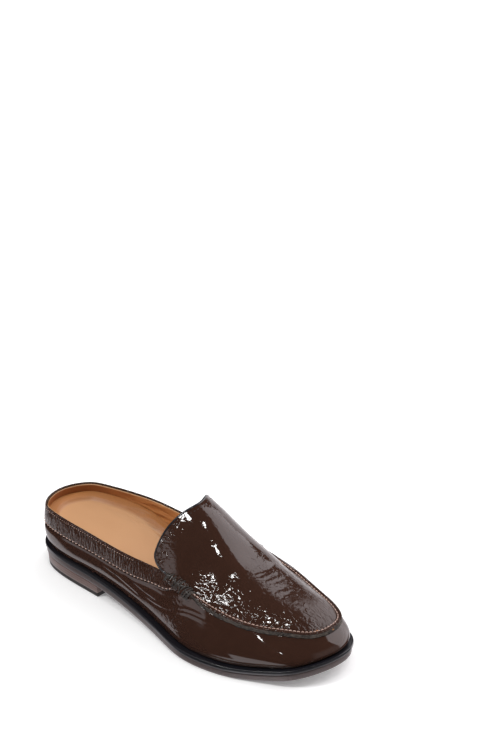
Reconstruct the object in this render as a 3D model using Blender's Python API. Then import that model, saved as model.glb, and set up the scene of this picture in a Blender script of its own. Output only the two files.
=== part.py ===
"""Backless loafer (a flat mule) for the right foot, as the maker's separate pieces.

X runs along the shoe with the toe at +X. The outer side is at -Y, the arch side is at +Y, and
+Z is up. The origin is on the floor, in the middle of the sole's length and width.
"""
import math

import bpy
import numpy as np

# Driving sizes, in metres
LENGTH = 0.268
SOLE_WIDTH = 0.0976
HEEL_WIDTH = 0.063
HEEL_HEIGHT = 0.0098
TOE_SPRING = 0.0115
OUTSOLE_THICK = 0.0048
WELT_THICK = 0.0028
WELT_WIDTH = 0.010
TOP_PIECE_THICK = 0.0030
HEEL_LENGTH = 0.0765
COLLAR_RISE = 0.0315
CORNER_RISE = 0.0390
TOE_RISE = 0.0135
CROWN_RISE = 0.0395
THROAT_SWEEP = 0.0168
WALL = 0.0020
WALL_BULGE = 0.0030
BULGE_POWER = 0.8
FOOT_INSET = 0.0045
HEEL_INSET = 0.0028
FOOTBED_RISE = 0.0250
CUP_DEPTH = 0.0042
CUP_BORDER = 0.0090

# Forms inside the shoe, as shares: the footbed's shoulder, and the middle of the cup's border
SHOULDER_LEVEL = 0.55
MID_BORDER = 0.45
MID_BORDER_RISE = 0.32

# Clearances and edge forms, in metres
GAP = 0.0003
FOOTBED_GAP = 0.0005
OUTSOLE_INSET = 0.0007
SOLE_SLANT = 0.0006
HEEL_TAPER = 0.0010
WELT_ROUND = 0.0007

# Steps of the mesh: heel to throat corner, corner to toe, foot to seam, across the apron
REAR_STEPS = 22
FRONT_STEPS = 24
WALL_STEPS = 8
APRON_STEPS = 24
FINE_WALL_STEPS = 64
CURVE_SAMPLES = 1600
SHARP_EDGE = math.radians(35)

# Where the sole leaves the floor, as shares of the length
HEEL_SLOPE_START = 0.22
HEEL_SLOPE_END = 0.66
SPRING_START = 0.76
SPRING_LIMIT = 1.2
WIDENING_START = 0.20
WIDENING_END = 0.65
INSET_CHANGE_START = 0.1
INSET_CHANGE_END = 0.5

# Sole outline: along as a share of the length, half widths as shares of the local width
OUTLINE = (
    # along, lateral, medial
    (0.03, 0.305, 0.300),
    (0.08, 0.440, 0.436),
    (0.16, 0.505, 0.505),
    (0.28, 0.512, 0.450),
    (0.42, 0.467, 0.306),
    (0.54, 0.466, 0.311),
    (0.64, 0.502, 0.389),
    (0.72, 0.499, 0.450),
    (0.80, 0.445, 0.498),
    (0.88, 0.351, 0.443),
    (0.95, 0.240, 0.334),
)
OUTLINE_TIP = 0.090

# Top edge of the side wall: the open collar as far as the throat corners, then the apron seam
TOPLINE = (
    # along, lateral, medial, rise above the welt
    (0.05, 0.350, 0.340, 1.00 * COLLAR_RISE),
    (0.09, 0.430, 0.425, 1.00 * COLLAR_RISE),
    (0.16, 0.481, 0.486, 1.01 * COLLAR_RISE),
    (0.28, 0.504, 0.516, 1.03 * COLLAR_RISE),
    (0.42, 0.427, 0.432, 1.10 * COLLAR_RISE),
    (0.56, 0.366, 0.366, 1.00 * CORNER_RISE),
    (0.62, 0.380, 0.372, 0.97 * CORNER_RISE),
    (0.69, 0.402, 0.396, 0.84 * CORNER_RISE),
    (0.74, 0.396, 0.392, 0.78 * CORNER_RISE),
    (0.79, 0.362, 0.374, 0.71 * CORNER_RISE),
    (0.85, 0.278, 0.343, 0.60 * CORNER_RISE),
    (0.90, 0.175, 0.307, 0.50 * CORNER_RISE),
    (0.94, 0.055, 0.248, 0.38 * CORNER_RISE),
)
TOPLINE_BACK = 0.016
TOPLINE_TIP = 0.957
TOPLINE_TIP_SIDE = 0.092
CORNER_ALONG = 0.56

# How far the side wall swells between foot and top edge, as shares of the bulge
BULGE = (
    # along, lateral, medial
    (0.00, 0.60, 0.60),
    (0.16, 0.70, 0.70),
    (0.30, 0.70, 0.60),
    (0.45, 0.60, 0.80),
    (0.60, 0.80, 1.00),
    (0.75, 1.00, 1.00),
    (0.90, 1.10, 1.10),
    (1.00, 1.10, 1.10),
)

# Height of the apron's crown over its seam, as shares of the crown's rise at the throat
CROWN = (
    # along, rise
    (0.56, 1.00),
    (0.60, 0.90),
    (0.64, 0.76),
    (0.68, 0.63),
    (0.75, 0.48),
    (0.82, 0.355),
    (0.90, 0.21),
    (0.957, 0.00),
)
CROWN_ROUNDNESS = 2.75
CROWN_LEAN = 0.13
THROAT_MIDDLE = 0.28
THROAT_EAR = 0.87
THROAT_FADE = 0.045

# Height of the footbed's edge over the welt, as shares of its rise at the heel
FOOTBED = (
    # along, rise, cup
    (0.00, 1.00, 1.00),
    (0.16, 1.00, 1.00),
    (0.30, 0.90, 1.00),
    (0.42, 0.68, 0.75),
    (0.54, 0.45, 0.40),
    (0.66, 0.30, 0.15),
    (0.76, 0.22, 0.05),
    (1.00, 0.18, 0.05),
)

# Colours (linear), roughness and metallic value of each material
FINISHES = {
    "patent_leather": ((0.038, 0.016, 0.010), 0.12, 0.0),
    "footbed_leather": ((0.640, 0.360, 0.175), 0.55, 0.0),
    "welt_leather": ((0.010, 0.010, 0.014), 0.35, 0.0),
    "sole_leather": ((0.085, 0.062, 0.060), 0.45, 0.0),
    "heel_leather": ((0.140, 0.112, 0.106), 0.45, 0.0),
    "heel_rubber": ((0.030, 0.028, 0.030), 0.70, 0.0),
}


def smooth(value, start, end):
    """Ease from 0 at start to 1 at end."""
    t = np.clip((np.asarray(value, float) - start) / (end - start), 0.0, 1.0)
    return t * t * (3.0 - 2.0 * t)


def second_slopes(knots, values, closed):
    """Second derivatives of the cubic spline through values at the knots."""
    count = len(values)
    matrix = np.eye(count)
    right = np.zeros_like(values)
    for i in range(count) if closed else range(1, count - 1):
        before = knots[i] - knots[i - 1] if i else knots[count] - knots[count - 1]
        after = knots[i + 1] - knots[i]
        matrix[i] = 0.0
        matrix[i, i - 1] = before
        matrix[i, i] = 2.0 * (before + after)
        matrix[i, (i + 1) % count] = after
        rise_after = (values[(i + 1) % count] - values[i]) / after
        rise_before = (values[i] - values[i - 1]) / before
        right[i] = 6.0 * (rise_after - rise_before)
    return np.linalg.solve(matrix, right)


def spline(knots, values, at, closed=False):
    """Read the cubic spline through values at the places in at."""
    values = np.asarray(values, float)
    slopes = second_slopes(knots, values, closed)
    if closed:
        values = np.concatenate([values, values[:1]])
        slopes = np.concatenate([slopes, slopes[:1]])
    i = np.clip(np.searchsorted(knots, at, side="right") - 1, 0, len(knots) - 2)
    span = (knots[i + 1] - knots[i]).reshape(-1, *[1] * (values.ndim - 1))
    u = (at - knots[i]).reshape(span.shape) / span
    curve = ((1 - u) ** 3 - (1 - u)) * slopes[i] + (u ** 3 - u) * slopes[i + 1]
    return (1 - u) * values[i] + u * values[i + 1] + curve * span ** 2 / 6.0


def table_value(table, column, along):
    """Read one column of a table along the shoe, on a smooth curve through its rows."""
    rows = np.array(table)
    return spline(rows[:, 0], rows[:, column], np.clip(along, rows[0, 0], rows[-1, 0]))


def local_width(along):
    """The breadth that the tables' half widths are shares of."""
    return HEEL_WIDTH + (SOLE_WIDTH - HEEL_WIDTH) * smooth(along, WIDENING_START, WIDENING_END)


def closed_curve(points):
    """Dense closed curve through the points, which run round the shoe from the heel."""
    points = np.array(points)
    steps = np.sqrt(np.linalg.norm(np.roll(points, -1, axis=0) - points, axis=1))
    knots = np.concatenate([[0.0], np.cumsum(steps)])
    at = np.linspace(0.0, knots[-1], CURVE_SAMPLES, endpoint=False)
    return spline(knots, points, at, closed=True)


def plan_curve(table, back, tip, tip_side):
    """Closed curve in plan from a table: heel, outer side, toe and arch side in turn."""
    lateral = [(row[0] * LENGTH, -row[1] * local_width(row[0])) for row in table]
    medial = [(row[0] * LENGTH, row[2] * local_width(row[0])) for row in table]
    heel = (back * LENGTH, 0.0)
    toe = (tip * LENGTH, tip_side * SOLE_WIDTH)
    return closed_curve([heel] + lateral + [toe] + medial[::-1])


def outward(ring):
    """Unit normals in plan of a ring that runs anticlockwise."""
    along = np.roll(ring[:, :2], -1, axis=0) - np.roll(ring[:, :2], 1, axis=0)
    normal = np.stack([along[:, 1], -along[:, 0]], axis=1)
    return normal / np.linalg.norm(normal, axis=1)[:, None]


def stations():
    """Steps from the heel's back, 0, to the tip of the toe, 1, closer at both round ends."""
    corner = (CORNER_ALONG - TOPLINE_BACK) / (TOPLINE_TIP - TOPLINE_BACK)
    rear = [corner * (1 - math.cos(i / REAR_STEPS * math.pi / 2)) for i in range(REAR_STEPS)]
    front = [corner + (1 - corner) * math.sin(j / FRONT_STEPS * math.pi / 2)
             for j in range(FRONT_STEPS + 1)]
    return np.array(rear + front)


def ring_of(curve):
    """Sample a closed curve at the stations: the outer side from the heel, then the arch side."""
    low, high = curve[:, 0].argmin(), curve[:, 0].argmax()
    turned = np.roll(curve, -low, axis=0)
    turn = (high - low) % len(curve)
    outer, inner = turned[:turn + 1], np.vstack([turned[turn:], turned[:1]])[::-1]
    x = turned[0, 0] + stations() * (turned[turn, 0] - turned[0, 0])
    there = np.stack([x, np.interp(x, outer[:, 0], outer[:, 1])], axis=1)
    back = np.stack([x, np.interp(x, inner[:, 0], inner[:, 1])], axis=1)
    return np.vstack([there, back[-2:0:-1]])


def sole_curve():
    """The welt's outline in plan, centred on the origin."""
    curve = plan_curve(OUTLINE, 0.0, 1.0, OUTLINE_TIP)
    middle = (curve.max(axis=0) + curve.min(axis=0)) / 2.0
    reach = np.ptp(curve[:, 0])
    curve = curve - middle
    curve[:, 0] *= LENGTH / reach
    return curve, middle


def inset_ring(inset):
    """The welt's outline drawn in by a distance, which may differ along the shoe."""
    curve = sole_curve()[0]
    depth = inset(curve[:, 0] / LENGTH + 0.5) if callable(inset) else inset
    return ring_of(curve - outward(curve) * np.reshape(depth, (-1, 1)))


def sole_bottom(x):
    """Height of the outsole's underside: heel, arch, flat forefoot and toe spring."""
    along = np.asarray(x) / LENGTH + 0.5
    arch = HEEL_HEIGHT * (1.0 - smooth(along, HEEL_SLOPE_START, HEEL_SLOPE_END))
    spring = np.clip((along - SPRING_START) / (1.0 - SPRING_START), 0.0, SPRING_LIMIT)
    return arch + TOE_SPRING * spring ** 2


def welt_top(x):
    """Height of the welt's upper face, on which the upper stands."""
    return sole_bottom(x) + OUTSOLE_THICK + GAP + WELT_THICK


def raised(ring, height):
    """A plan ring lifted to the height of a function of x."""
    return np.column_stack([ring, height(ring[:, 0])])


def foot_inset(along):
    """How far the upper's foot stands in from the welt's edge."""
    return HEEL_INSET + (FOOT_INSET - HEEL_INSET) * smooth(along, INSET_CHANGE_START, INSET_CHANGE_END)


def foot_ring():
    """Outer foot of the side wall, just over the welt."""
    return raised(inset_ring(foot_inset), lambda x: welt_top(x) + GAP)


def side_columns(table, along, ring_size):
    """A table's lateral or medial column for each point of a ring."""
    half = ring_size // 2
    lateral, medial = table_value(table, 1, along), table_value(table, 2, along)
    return np.where(np.arange(ring_size) <= half, lateral, medial)


def top_ring():
    """Top edge of the side wall: collar behind, apron seam in front."""
    curve = plan_curve(TOPLINE, TOPLINE_BACK, TOPLINE_TIP, TOPLINE_TIP_SIDE)
    ring = ring_of(curve - sole_curve()[1])
    rows = [(TOPLINE_BACK, COLLAR_RISE)] + [(r[0], r[3]) for r in TOPLINE]
    rows.append((TOPLINE_TIP, TOE_RISE))
    along = ring[:, 0] / LENGTH + 0.5
    return np.column_stack([ring, welt_top(ring[:, 0]) + table_value(rows, 1, along)])


def wall_rings(steps):
    """Rings of the side wall from its foot to its top edge."""
    foot, top = foot_ring(), top_ring()
    normal = outward(foot)
    swell = WALL_BULGE * side_columns(BULGE, foot[:, 0] / LENGTH + 0.5, len(foot))
    rings = []
    for v in np.linspace(0.0, 1.0, steps + 1):
        ring = foot * (1 - v) + top * v
        ring[:, :2] += normal * (swell * math.sin(math.pi * v ** BULGE_POWER))[:, None]
        rings.append(ring)
    return rings


def throat_sweep(side):
    """How far the throat edge lies behind its corners, for a place from -1 to 1 across it."""
    side = abs(side)
    if side < THROAT_EAR:
        return THROAT_SWEEP * (THROAT_MIDDLE + (1 - THROAT_MIDDLE) * float(smooth(side, 0, THROAT_EAR)))
    return THROAT_SWEEP * math.sqrt(max(0.0, 1 - ((side - THROAT_EAR) / (1 - THROAT_EAR)) ** 2))


def apron_row(left, right, start):
    """Points across the apron between two facing points of its seam."""
    middle = (left + right) / 2.0
    along = middle[0] / LENGTH + 0.5
    rise = CROWN_RISE * float(table_value(CROWN, 1, np.array([along]))[0])
    fade = math.exp(-((middle[0] - start) / THROAT_FADE) ** 2)
    row = []
    for i in range(1, APRON_STEPS):
        side = math.sin((2.0 * i / APRON_STEPS - 1.0) * math.pi / 2)
        point = left * (1 - side) / 2 + right * (1 + side) / 2
        point[0] -= throat_sweep(side) * fade
        leant = side - CROWN_LEAN * (1 - side * side)
        point[2] += rise * (1 - abs(leant) ** CROWN_ROUNDNESS)
        row.append(point)
    return np.array(row)


def ring_faces(low, high, size):
    """Quads between two rings that start at the given vertex numbers."""
    return [(low + i, low + (i + 1) % size, high + (i + 1) % size, high + i)
            for i in range(size)]


def cap_faces(start, size, up):
    """Close a ring with strips that run straight across the shoe."""
    half = size // 2
    faces = []
    for i in range(half):
        strip = (i, i + 1, (size - i - 1) % size, (size - i) % size)
        faces.append([start + v for v in dict.fromkeys(strip)])
    return faces if up else [face[::-1] for face in faces]


def upper_surface():
    """Outer face of the upper: side wall, then the apron over its front."""
    rings = wall_rings(WALL_STEPS)
    size = len(rings[0])
    points = list(np.vstack(rings))
    faces = []
    for i in range(WALL_STEPS):
        faces += ring_faces(i * size, (i + 1) * size, size)
    seam = rings[-1]
    seam_start = WALL_STEPS * size
    rows = []
    for j in range(FRONT_STEPS):
        left, right = REAR_STEPS + j, size - REAR_STEPS - j
        inner = apron_row(seam[left], seam[right], seam[REAR_STEPS][0])
        rows.append([seam_start + left, *range(len(points), len(points) + len(inner)),
                     seam_start + right])
        points += list(inner)
    for one, two in zip(rows, rows[1:]):
        faces += [(one[i], two[i], two[i + 1], one[i + 1]) for i in range(APRON_STEPS)]
    tip = seam_start + size // 2
    faces += [(rows[-1][i], tip, rows[-1][i + 1]) for i in range(APRON_STEPS)]
    return np.array(points), faces, size


def point_normals(points, faces):
    """Unit normals at the points, from the areas of the faces round them."""
    normals = np.zeros_like(points)
    for face in faces:
        corners = points[list(face)]
        area = np.zeros(3)
        for one, two in zip(corners[1:], corners[2:]):
            area += np.cross(one - corners[0], two - corners[0])
        for index in face:
            normals[index] += area
    return normals / np.linalg.norm(normals, axis=1)[:, None]


def thickened(points, faces, wall, level_count):
    """Give an open surface a wall on its inner side; its first points keep their level."""
    normals = point_normals(points, faces)
    normals[:level_count, 2] = 0.0
    normals[:level_count] /= np.linalg.norm(normals[:level_count], axis=1)[:, None]
    count = len(points)
    both = np.vstack([points, points - normals * wall])
    edges = {(face[i - 1], face[i]) for face in faces for i in range(len(face))}
    rim = [(a, b) for a, b in edges if (b, a) not in edges]
    inside = [[v + count for v in face[::-1]] for face in faces]
    sides = [(b, a, a + count, b + count) for a, b in sorted(rim)]
    return both, list(faces) + inside + sides


def footbed_level(x, column):
    """Height of the footbed's edge (column 1) or the depth of its cup (column 2)."""
    along = np.asarray(x) / LENGTH + 0.5
    scale = FOOTBED_RISE if column == 1 else CUP_DEPTH
    return scale * table_value(FOOTBED, column, along)


def inside_wall(rise):
    """Ring just inside the upper's lining, at a height over the welt given as a function of x."""
    rings = np.array(wall_rings(FINE_WALL_STEPS))
    round_shoe = np.roll(rings, -1, axis=1) - np.roll(rings, 1, axis=1)
    normals = np.cross(round_shoe, np.gradient(rings, axis=0))
    normals /= np.linalg.norm(normals, axis=2)[:, :, None]
    rings -= normals * (WALL + FOOTBED_GAP)
    ring = np.empty_like(rings[0])
    for i in range(rings.shape[1]):
        column = rings[:, i]
        over = column[:, 2] - welt_top(column[:, 0]) - rise(column[:, 0])
        ring[i] = [np.interp(0.0, over, column[:, axis]) for axis in range(3)]
    ring[:, 2] = welt_top(ring[:, 0]) + rise(ring[:, 0])
    return ring


def drawn_in(ring, distance):
    """A ring's plan drawn in by a distance that is small beside its bends."""
    return ring[:, :2] - outward(ring) * distance


def loft(rings, closed=False):
    """Skin a stack of equal rings; a closed stack joins its last ring to its first."""
    size = len(rings[0])
    faces = []
    for i in range(len(rings) - 1):
        faces += ring_faces(i * size, (i + 1) * size, size)
    if closed:
        faces += ring_faces((len(rings) - 1) * size, 0, size)
    else:
        faces += cap_faces(0, size, up=False) + cap_faces((len(rings) - 1) * size, size, up=True)
    return np.vstack(rings), faces


def material(name):
    """A plain material with the part's colour, roughness and metallic value."""
    color, roughness, metallic = FINISHES[name]
    made = bpy.data.materials.new(name)
    made.use_nodes = True
    shader = made.node_tree.nodes["Principled BSDF"]
    shader.inputs["Base Color"].default_value = (*color, 1.0)
    shader.inputs["Roughness"].default_value = roughness
    shader.inputs["Metallic"].default_value = metallic
    return made


def add_piece(name, points, faces, finish):
    """One named object with its own material."""
    mesh = bpy.data.meshes.new(name)
    mesh.from_pydata([tuple(p) for p in points], [], [tuple(face) for face in faces])
    mesh.materials.append(material(finish))
    mesh.shade_smooth()
    mesh.set_sharp_from_angle(angle=SHARP_EDGE)
    piece = bpy.data.objects.new(name, mesh)
    bpy.context.collection.objects.link(piece)
    return piece


def make_outsole():
    """Outsole from heel to toe, with its edge cut slightly under."""
    under = inset_ring(OUTSOLE_INSET + SOLE_SLANT)
    over = inset_ring(OUTSOLE_INSET)
    rings = [raised(under, sole_bottom), raised(over, lambda x: sole_bottom(x) + OUTSOLE_THICK)]
    add_piece("outsole", *loft(rings), "sole_leather")


def make_welt():
    """Welt strip round the sole, with a rounded outer edge."""
    def low(x):
        return welt_top(x) - WELT_THICK
    outer, inner = inset_ring(0.0), inset_ring(WELT_WIDTH)
    edge = inset_ring(WELT_ROUND)
    rings = [
        raised(edge, low),
        raised(outer, lambda x: low(x) + WELT_ROUND),
        raised(outer, lambda x: welt_top(x) - WELT_ROUND),
        raised(edge, welt_top),
        raised(inner, welt_top),
        raised(inner, low),
    ]
    add_piece("welt", *loft(rings, closed=True), "welt_leather")


def heel_ring(inset):
    """Outline of the heel: the sole's rear cut off by a straight breast."""
    curve = sole_curve()[0]
    curve = curve - outward(curve) * inset
    breast = HEEL_LENGTH - LENGTH / 2.0
    low = curve[:, 0].argmin()
    turned = np.roll(curve, -low, axis=0)
    half = int(turned[:, 0].argmax())
    outer, inner = turned[:half + 1], turned[:half:-1]
    steps = 1 - np.cos(np.linspace(0.0, math.pi / 2, REAR_STEPS + 1))
    x = turned[0, 0] + steps * (breast - turned[0, 0])
    there = np.stack([x, np.interp(x, outer[:, 0], outer[:, 1])], axis=1)
    back = np.stack([x, np.interp(x, inner[:, 0], inner[:, 1])], axis=1)
    return np.vstack([there, back[:0:-1]])


def heel_faces(size):
    """Faces of a two ring block whose front is a straight breast."""
    faces = ring_faces(0, size, size)
    half = size // 2
    for start, up in ((0, False), (size, True)):
        strips = [(i, i + 1, size - i - 1, (size - i) % size) for i in range(half)]
        strips = [[start + v for v in dict.fromkeys(strip)] for strip in strips]
        faces += strips if up else [strip[::-1] for strip in strips]
    return faces


def make_heel():
    """Stacked heel and the top piece that it stands on."""
    split = TOP_PIECE_THICK / HEEL_HEIGHT
    wide, narrow = OUTSOLE_INSET + SOLE_SLANT, OUTSOLE_INSET + SOLE_SLANT + HEEL_TAPER
    middle = narrow + (wide - narrow) * split
    lift = [raised(heel_ring(middle), lambda x: 0 * x + TOP_PIECE_THICK + GAP),
            raised(heel_ring(wide), lambda x: sole_bottom(x) - GAP)]
    tread = [raised(heel_ring(narrow), lambda x: 0 * x),
             raised(heel_ring(middle), lambda x: 0 * x + TOP_PIECE_THICK)]
    for name, rings, finish in (("heel_stack", lift, "heel_leather"),
                                ("heel_top_piece", tread, "heel_rubber")):
        add_piece(name, np.vstack(rings), heel_faces(len(rings[0])), finish)


def make_upper():
    """Upper as one hollow wall, open at the collar, at the throat and underneath."""
    points, faces, foot_count = upper_surface()
    add_piece("upper", *thickened(points, faces, WALL, foot_count), "patent_leather")


def make_insole():
    """Moulded footbed: it fills the welt's ring, steps out over it and cups the heel."""
    plug = inset_ring(WELT_WIDTH + GAP)
    foot = foot_ring()
    foot[:, :2] -= outward(foot) * (WALL + FOOTBED_GAP)
    edge = inside_wall(lambda x: footbed_level(x, 1))
    shoulder = inside_wall(lambda x: SHOULDER_LEVEL * footbed_level(x, 1))

    def seat(x):
        return welt_top(x) + footbed_level(x, 1) - footbed_level(x, 2)
    half_cup = drawn_in(edge, MID_BORDER * CUP_BORDER)
    cup = drawn_in(edge, CUP_BORDER)
    rings = [
        raised(plug, lambda x: welt_top(x) - WELT_THICK),
        raised(plug, lambda x: welt_top(x) + GAP),
        foot,
        shoulder,
        edge,
        raised(half_cup, lambda x: seat(x) + MID_BORDER_RISE * footbed_level(x, 2)),
        raised(cup, seat),
    ]
    add_piece("insole", *loft(rings), "footbed_leather")


def main():
    for old in list(bpy.data.objects):
        bpy.data.objects.remove(old)
    make_outsole()
    make_welt()
    make_heel()
    make_upper()
    make_insole()


main()
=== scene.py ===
# %% [markdown]
# # A backless loafer, from its last to its stitches
# A loafer is built up in layers on a last, the form that has the shape of the foot. This lesson
# does the same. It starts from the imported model, which holds one plain solid for each main part,
# and lays finely modelled leather over the same curves: wall, collar, apron, lining and footbed,
# then welt, sole and heel, and at the end the thread.

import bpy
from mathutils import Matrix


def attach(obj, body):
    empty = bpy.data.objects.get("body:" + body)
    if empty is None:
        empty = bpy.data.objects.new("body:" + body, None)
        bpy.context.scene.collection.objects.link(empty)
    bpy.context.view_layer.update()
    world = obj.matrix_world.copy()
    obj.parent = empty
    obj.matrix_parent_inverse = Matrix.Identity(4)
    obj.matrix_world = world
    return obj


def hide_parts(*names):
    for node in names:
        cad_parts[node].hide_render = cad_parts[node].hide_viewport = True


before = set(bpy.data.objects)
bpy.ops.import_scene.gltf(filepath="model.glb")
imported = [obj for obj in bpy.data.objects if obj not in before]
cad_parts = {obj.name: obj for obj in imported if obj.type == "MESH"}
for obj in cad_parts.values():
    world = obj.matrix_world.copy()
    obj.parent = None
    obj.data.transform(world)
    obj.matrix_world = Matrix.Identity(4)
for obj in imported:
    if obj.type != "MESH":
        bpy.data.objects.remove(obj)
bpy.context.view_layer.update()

import math

import bpy
import numpy as np
from mathutils import Matrix, Vector

print("nodes of the model:", ", ".join(sorted(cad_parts)))

# %% [markdown]
# ## The sizes of the last
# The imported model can't lend its formulas, only its meshes, so the sizes and tables that shaped
# its solids are repeated here. Every layer of leather reads them, which keeps the fine pieces
# exactly where the plain solids are. Lengths are in metres, X runs to the toe, the outer side is
# at -Y, and a place along the shoe is a share of its length.

# %% Sizes and tables
LENGTH = 0.268
SOLE_WIDTH = 0.0976
HEEL_WIDTH = 0.063
HEEL_HEIGHT = 0.0098
TOE_SPRING = 0.0115
OUTSOLE_THICK = 0.0048
WELT_THICK = 0.0028
TOP_PIECE_THICK = 0.0030
HEEL_LENGTH = 0.0765
COLLAR_RISE = 0.0315
CORNER_RISE = 0.0390
TOE_RISE = 0.0135
CROWN_RISE = 0.0395
THROAT_SWEEP = 0.0168
WALL_BULGE = 0.0030
SWELL_POWER = 0.8
FOOT_INSET = 0.0045
HEEL_INSET = 0.0028
FOOTBED_RISE = 0.0250
CUP_DEPTH = 0.0042
CUP_BORDER = 0.0090
GAP = 0.0003

OUTLINE = (  # along, lateral half width, medial half width, as shares of the local width
    (0.03, 0.305, 0.300), (0.08, 0.440, 0.436), (0.16, 0.505, 0.505), (0.28, 0.512, 0.450),
    (0.42, 0.467, 0.306), (0.54, 0.466, 0.311), (0.64, 0.502, 0.389), (0.72, 0.499, 0.450),
    (0.80, 0.445, 0.498), (0.88, 0.351, 0.443), (0.95, 0.240, 0.334),
)
OUTLINE_TIP = 0.090
TOPLINE = (  # along, lateral, medial, rise above the welt
    (0.05, 0.350, 0.340, 1.00 * COLLAR_RISE), (0.09, 0.430, 0.425, 1.00 * COLLAR_RISE),
    (0.16, 0.481, 0.486, 1.01 * COLLAR_RISE), (0.28, 0.504, 0.516, 1.03 * COLLAR_RISE),
    (0.42, 0.427, 0.432, 1.10 * COLLAR_RISE), (0.56, 0.366, 0.366, 1.00 * CORNER_RISE),
    (0.62, 0.380, 0.372, 0.97 * CORNER_RISE), (0.69, 0.402, 0.396, 0.84 * CORNER_RISE),
    (0.74, 0.396, 0.392, 0.78 * CORNER_RISE), (0.79, 0.362, 0.374, 0.71 * CORNER_RISE),
    (0.85, 0.278, 0.343, 0.60 * CORNER_RISE), (0.90, 0.175, 0.307, 0.50 * CORNER_RISE),
    (0.94, 0.055, 0.248, 0.38 * CORNER_RISE),
)
TOPLINE_BACK = 0.016
TOPLINE_TIP = 0.957
TOPLINE_TIP_SIDE = 0.092
CORNER_ALONG = 0.56
BULGE = (  # along, lateral, medial, as shares of the bulge
    (0.00, 0.60, 0.60), (0.16, 0.70, 0.70), (0.30, 0.70, 0.60), (0.45, 0.60, 0.80),
    (0.60, 0.80, 1.00), (0.75, 1.00, 1.00), (0.90, 1.10, 1.10), (1.00, 1.10, 1.10),
)
CROWN = (  # along, rise as a share of the crown's rise at the throat
    (0.56, 1.00), (0.60, 0.90), (0.64, 0.76), (0.68, 0.63), (0.75, 0.48), (0.82, 0.355),
    (0.90, 0.21), (0.957, 0.00),
)
CROWN_ROUNDNESS = 2.75
CROWN_LEAN = 0.13
THROAT_MIDDLE = 0.28
THROAT_EAR = 0.87
THROAT_FADE = 0.045
FOOTBED = (  # along, rise, cup
    (0.00, 1.00, 1.00), (0.16, 1.00, 1.00), (0.30, 0.90, 1.00), (0.42, 0.68, 0.75),
    (0.54, 0.45, 0.40), (0.66, 0.30, 0.15), (0.76, 0.22, 0.05), (1.00, 0.18, 0.05),
)
HEEL_SLOPE = (0.22, 0.66)
SPRING_START = 0.76
WIDENING = (0.20, 0.65)
INSET_CHANGE = (0.10, 0.50)
print("tables:", len(OUTLINE), "outline rows,", len(TOPLINE), "top line rows")

# %% [markdown]
# ## Smooth curves through a few rows
# A maker's tables have a dozen rows, and patent leather is a mirror that shows every kink between
# them. A cubic spline passes through each row and keeps slope and bend continuous, so the
# reflections run without a break.


# %% Splines
def smooth(value, start, end):
    """Ease from 0 at start to 1 at end."""
    t = np.clip((np.asarray(value, float) - start) / (end - start), 0.0, 1.0)
    return t * t * (3.0 - 2.0 * t)


def bends(knots, values, closed):
    """Second derivatives of the cubic spline through values at the knots."""
    count = len(values)
    matrix, right = np.eye(count), np.zeros_like(values)
    for i in range(count) if closed else range(1, count - 1):
        before = knots[i] - knots[i - 1] if i else knots[count] - knots[count - 1]
        after = knots[i + 1] - knots[i]
        matrix[i] = 0.0
        matrix[i, i - 1] = before
        matrix[i, i] = 2.0 * (before + after)
        matrix[i, (i + 1) % count] = after
        rise_after = (values[(i + 1) % count] - values[i]) / after
        right[i] = 6.0 * (rise_after - (values[i] - values[i - 1]) / before)
    return np.linalg.solve(matrix, right)


def spline(knots, values, at, closed=False):
    """Read the cubic spline through values at the places in at."""
    values = np.asarray(values, float)
    bend = bends(knots, values, closed)
    if closed:
        values, bend = np.concatenate([values, values[:1]]), np.concatenate([bend, bend[:1]])
    i = np.clip(np.searchsorted(knots, at, side="right") - 1, 0, len(knots) - 2)
    span = (knots[i + 1] - knots[i]).reshape(-1, *[1] * (values.ndim - 1))
    u = (at - knots[i]).reshape(span.shape) / span
    curve = ((1 - u) ** 3 - (1 - u)) * bend[i] + (u ** 3 - u) * bend[i + 1]
    return (1 - u) * values[i] + u * values[i + 1] + curve * span ** 2 / 6.0


def table_value(table, column, along):
    """Read one column of a table along the shoe."""
    rows = np.array(table)
    along = np.asarray(along, float)
    read = spline(rows[:, 0], rows[:, column], np.clip(along.ravel(), rows[0, 0], rows[-1, 0]))
    return read.reshape(along.shape)


def local_width(along):
    """The breadth that the tables' half widths are shares of."""
    return HEEL_WIDTH + (SOLE_WIDTH - HEEL_WIDTH) * smooth(along, *WIDENING)


print("width of the sole at the waist, mm:", round(1000 * float(local_width(0.42)), 1))

# %% [markdown]
# ## Rings round the shoe
# Every wall of a shoe runs round it, so each plan curve is cut at the same stations, from the
# heel along the outer side to the toe and back along the arch side. Rings that share stations can
# be joined face by face. The stations crowd together at the two round ends, where the curve turns
# fastest.

# %% Plan curves and rings
REAR_STEPS = 150
FRONT_STEPS = 136
CURVE_SAMPLES = 6400
HALF = REAR_STEPS + FRONT_STEPS
RING = 2 * HALF


def plan_curve(table, back, tip, tip_side):
    """Dense closed curve in plan: heel, outer side, toe and arch side in turn."""
    lateral = [(row[0] * LENGTH, -row[1] * local_width(row[0])) for row in table]
    medial = [(row[0] * LENGTH, row[2] * local_width(row[0])) for row in table]
    tip_point = (tip * LENGTH, tip_side * SOLE_WIDTH)
    points = np.array([(back * LENGTH, 0.0)] + lateral + [tip_point] + medial[::-1])
    steps = np.sqrt(np.linalg.norm(np.roll(points, -1, axis=0) - points, axis=1))
    knots = np.concatenate([[0.0], np.cumsum(steps)])
    return spline(knots, points, np.linspace(0.0, knots[-1], CURVE_SAMPLES, endpoint=False), True)


def outward(ring):
    """Unit normals in plan of a ring that runs anticlockwise."""
    along = np.roll(ring[:, :2], -1, axis=0) - np.roll(ring[:, :2], 1, axis=0)
    normal = np.stack([along[:, 1], -along[:, 0]], axis=1)
    return normal / np.linalg.norm(normal, axis=1)[:, None]


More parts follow.
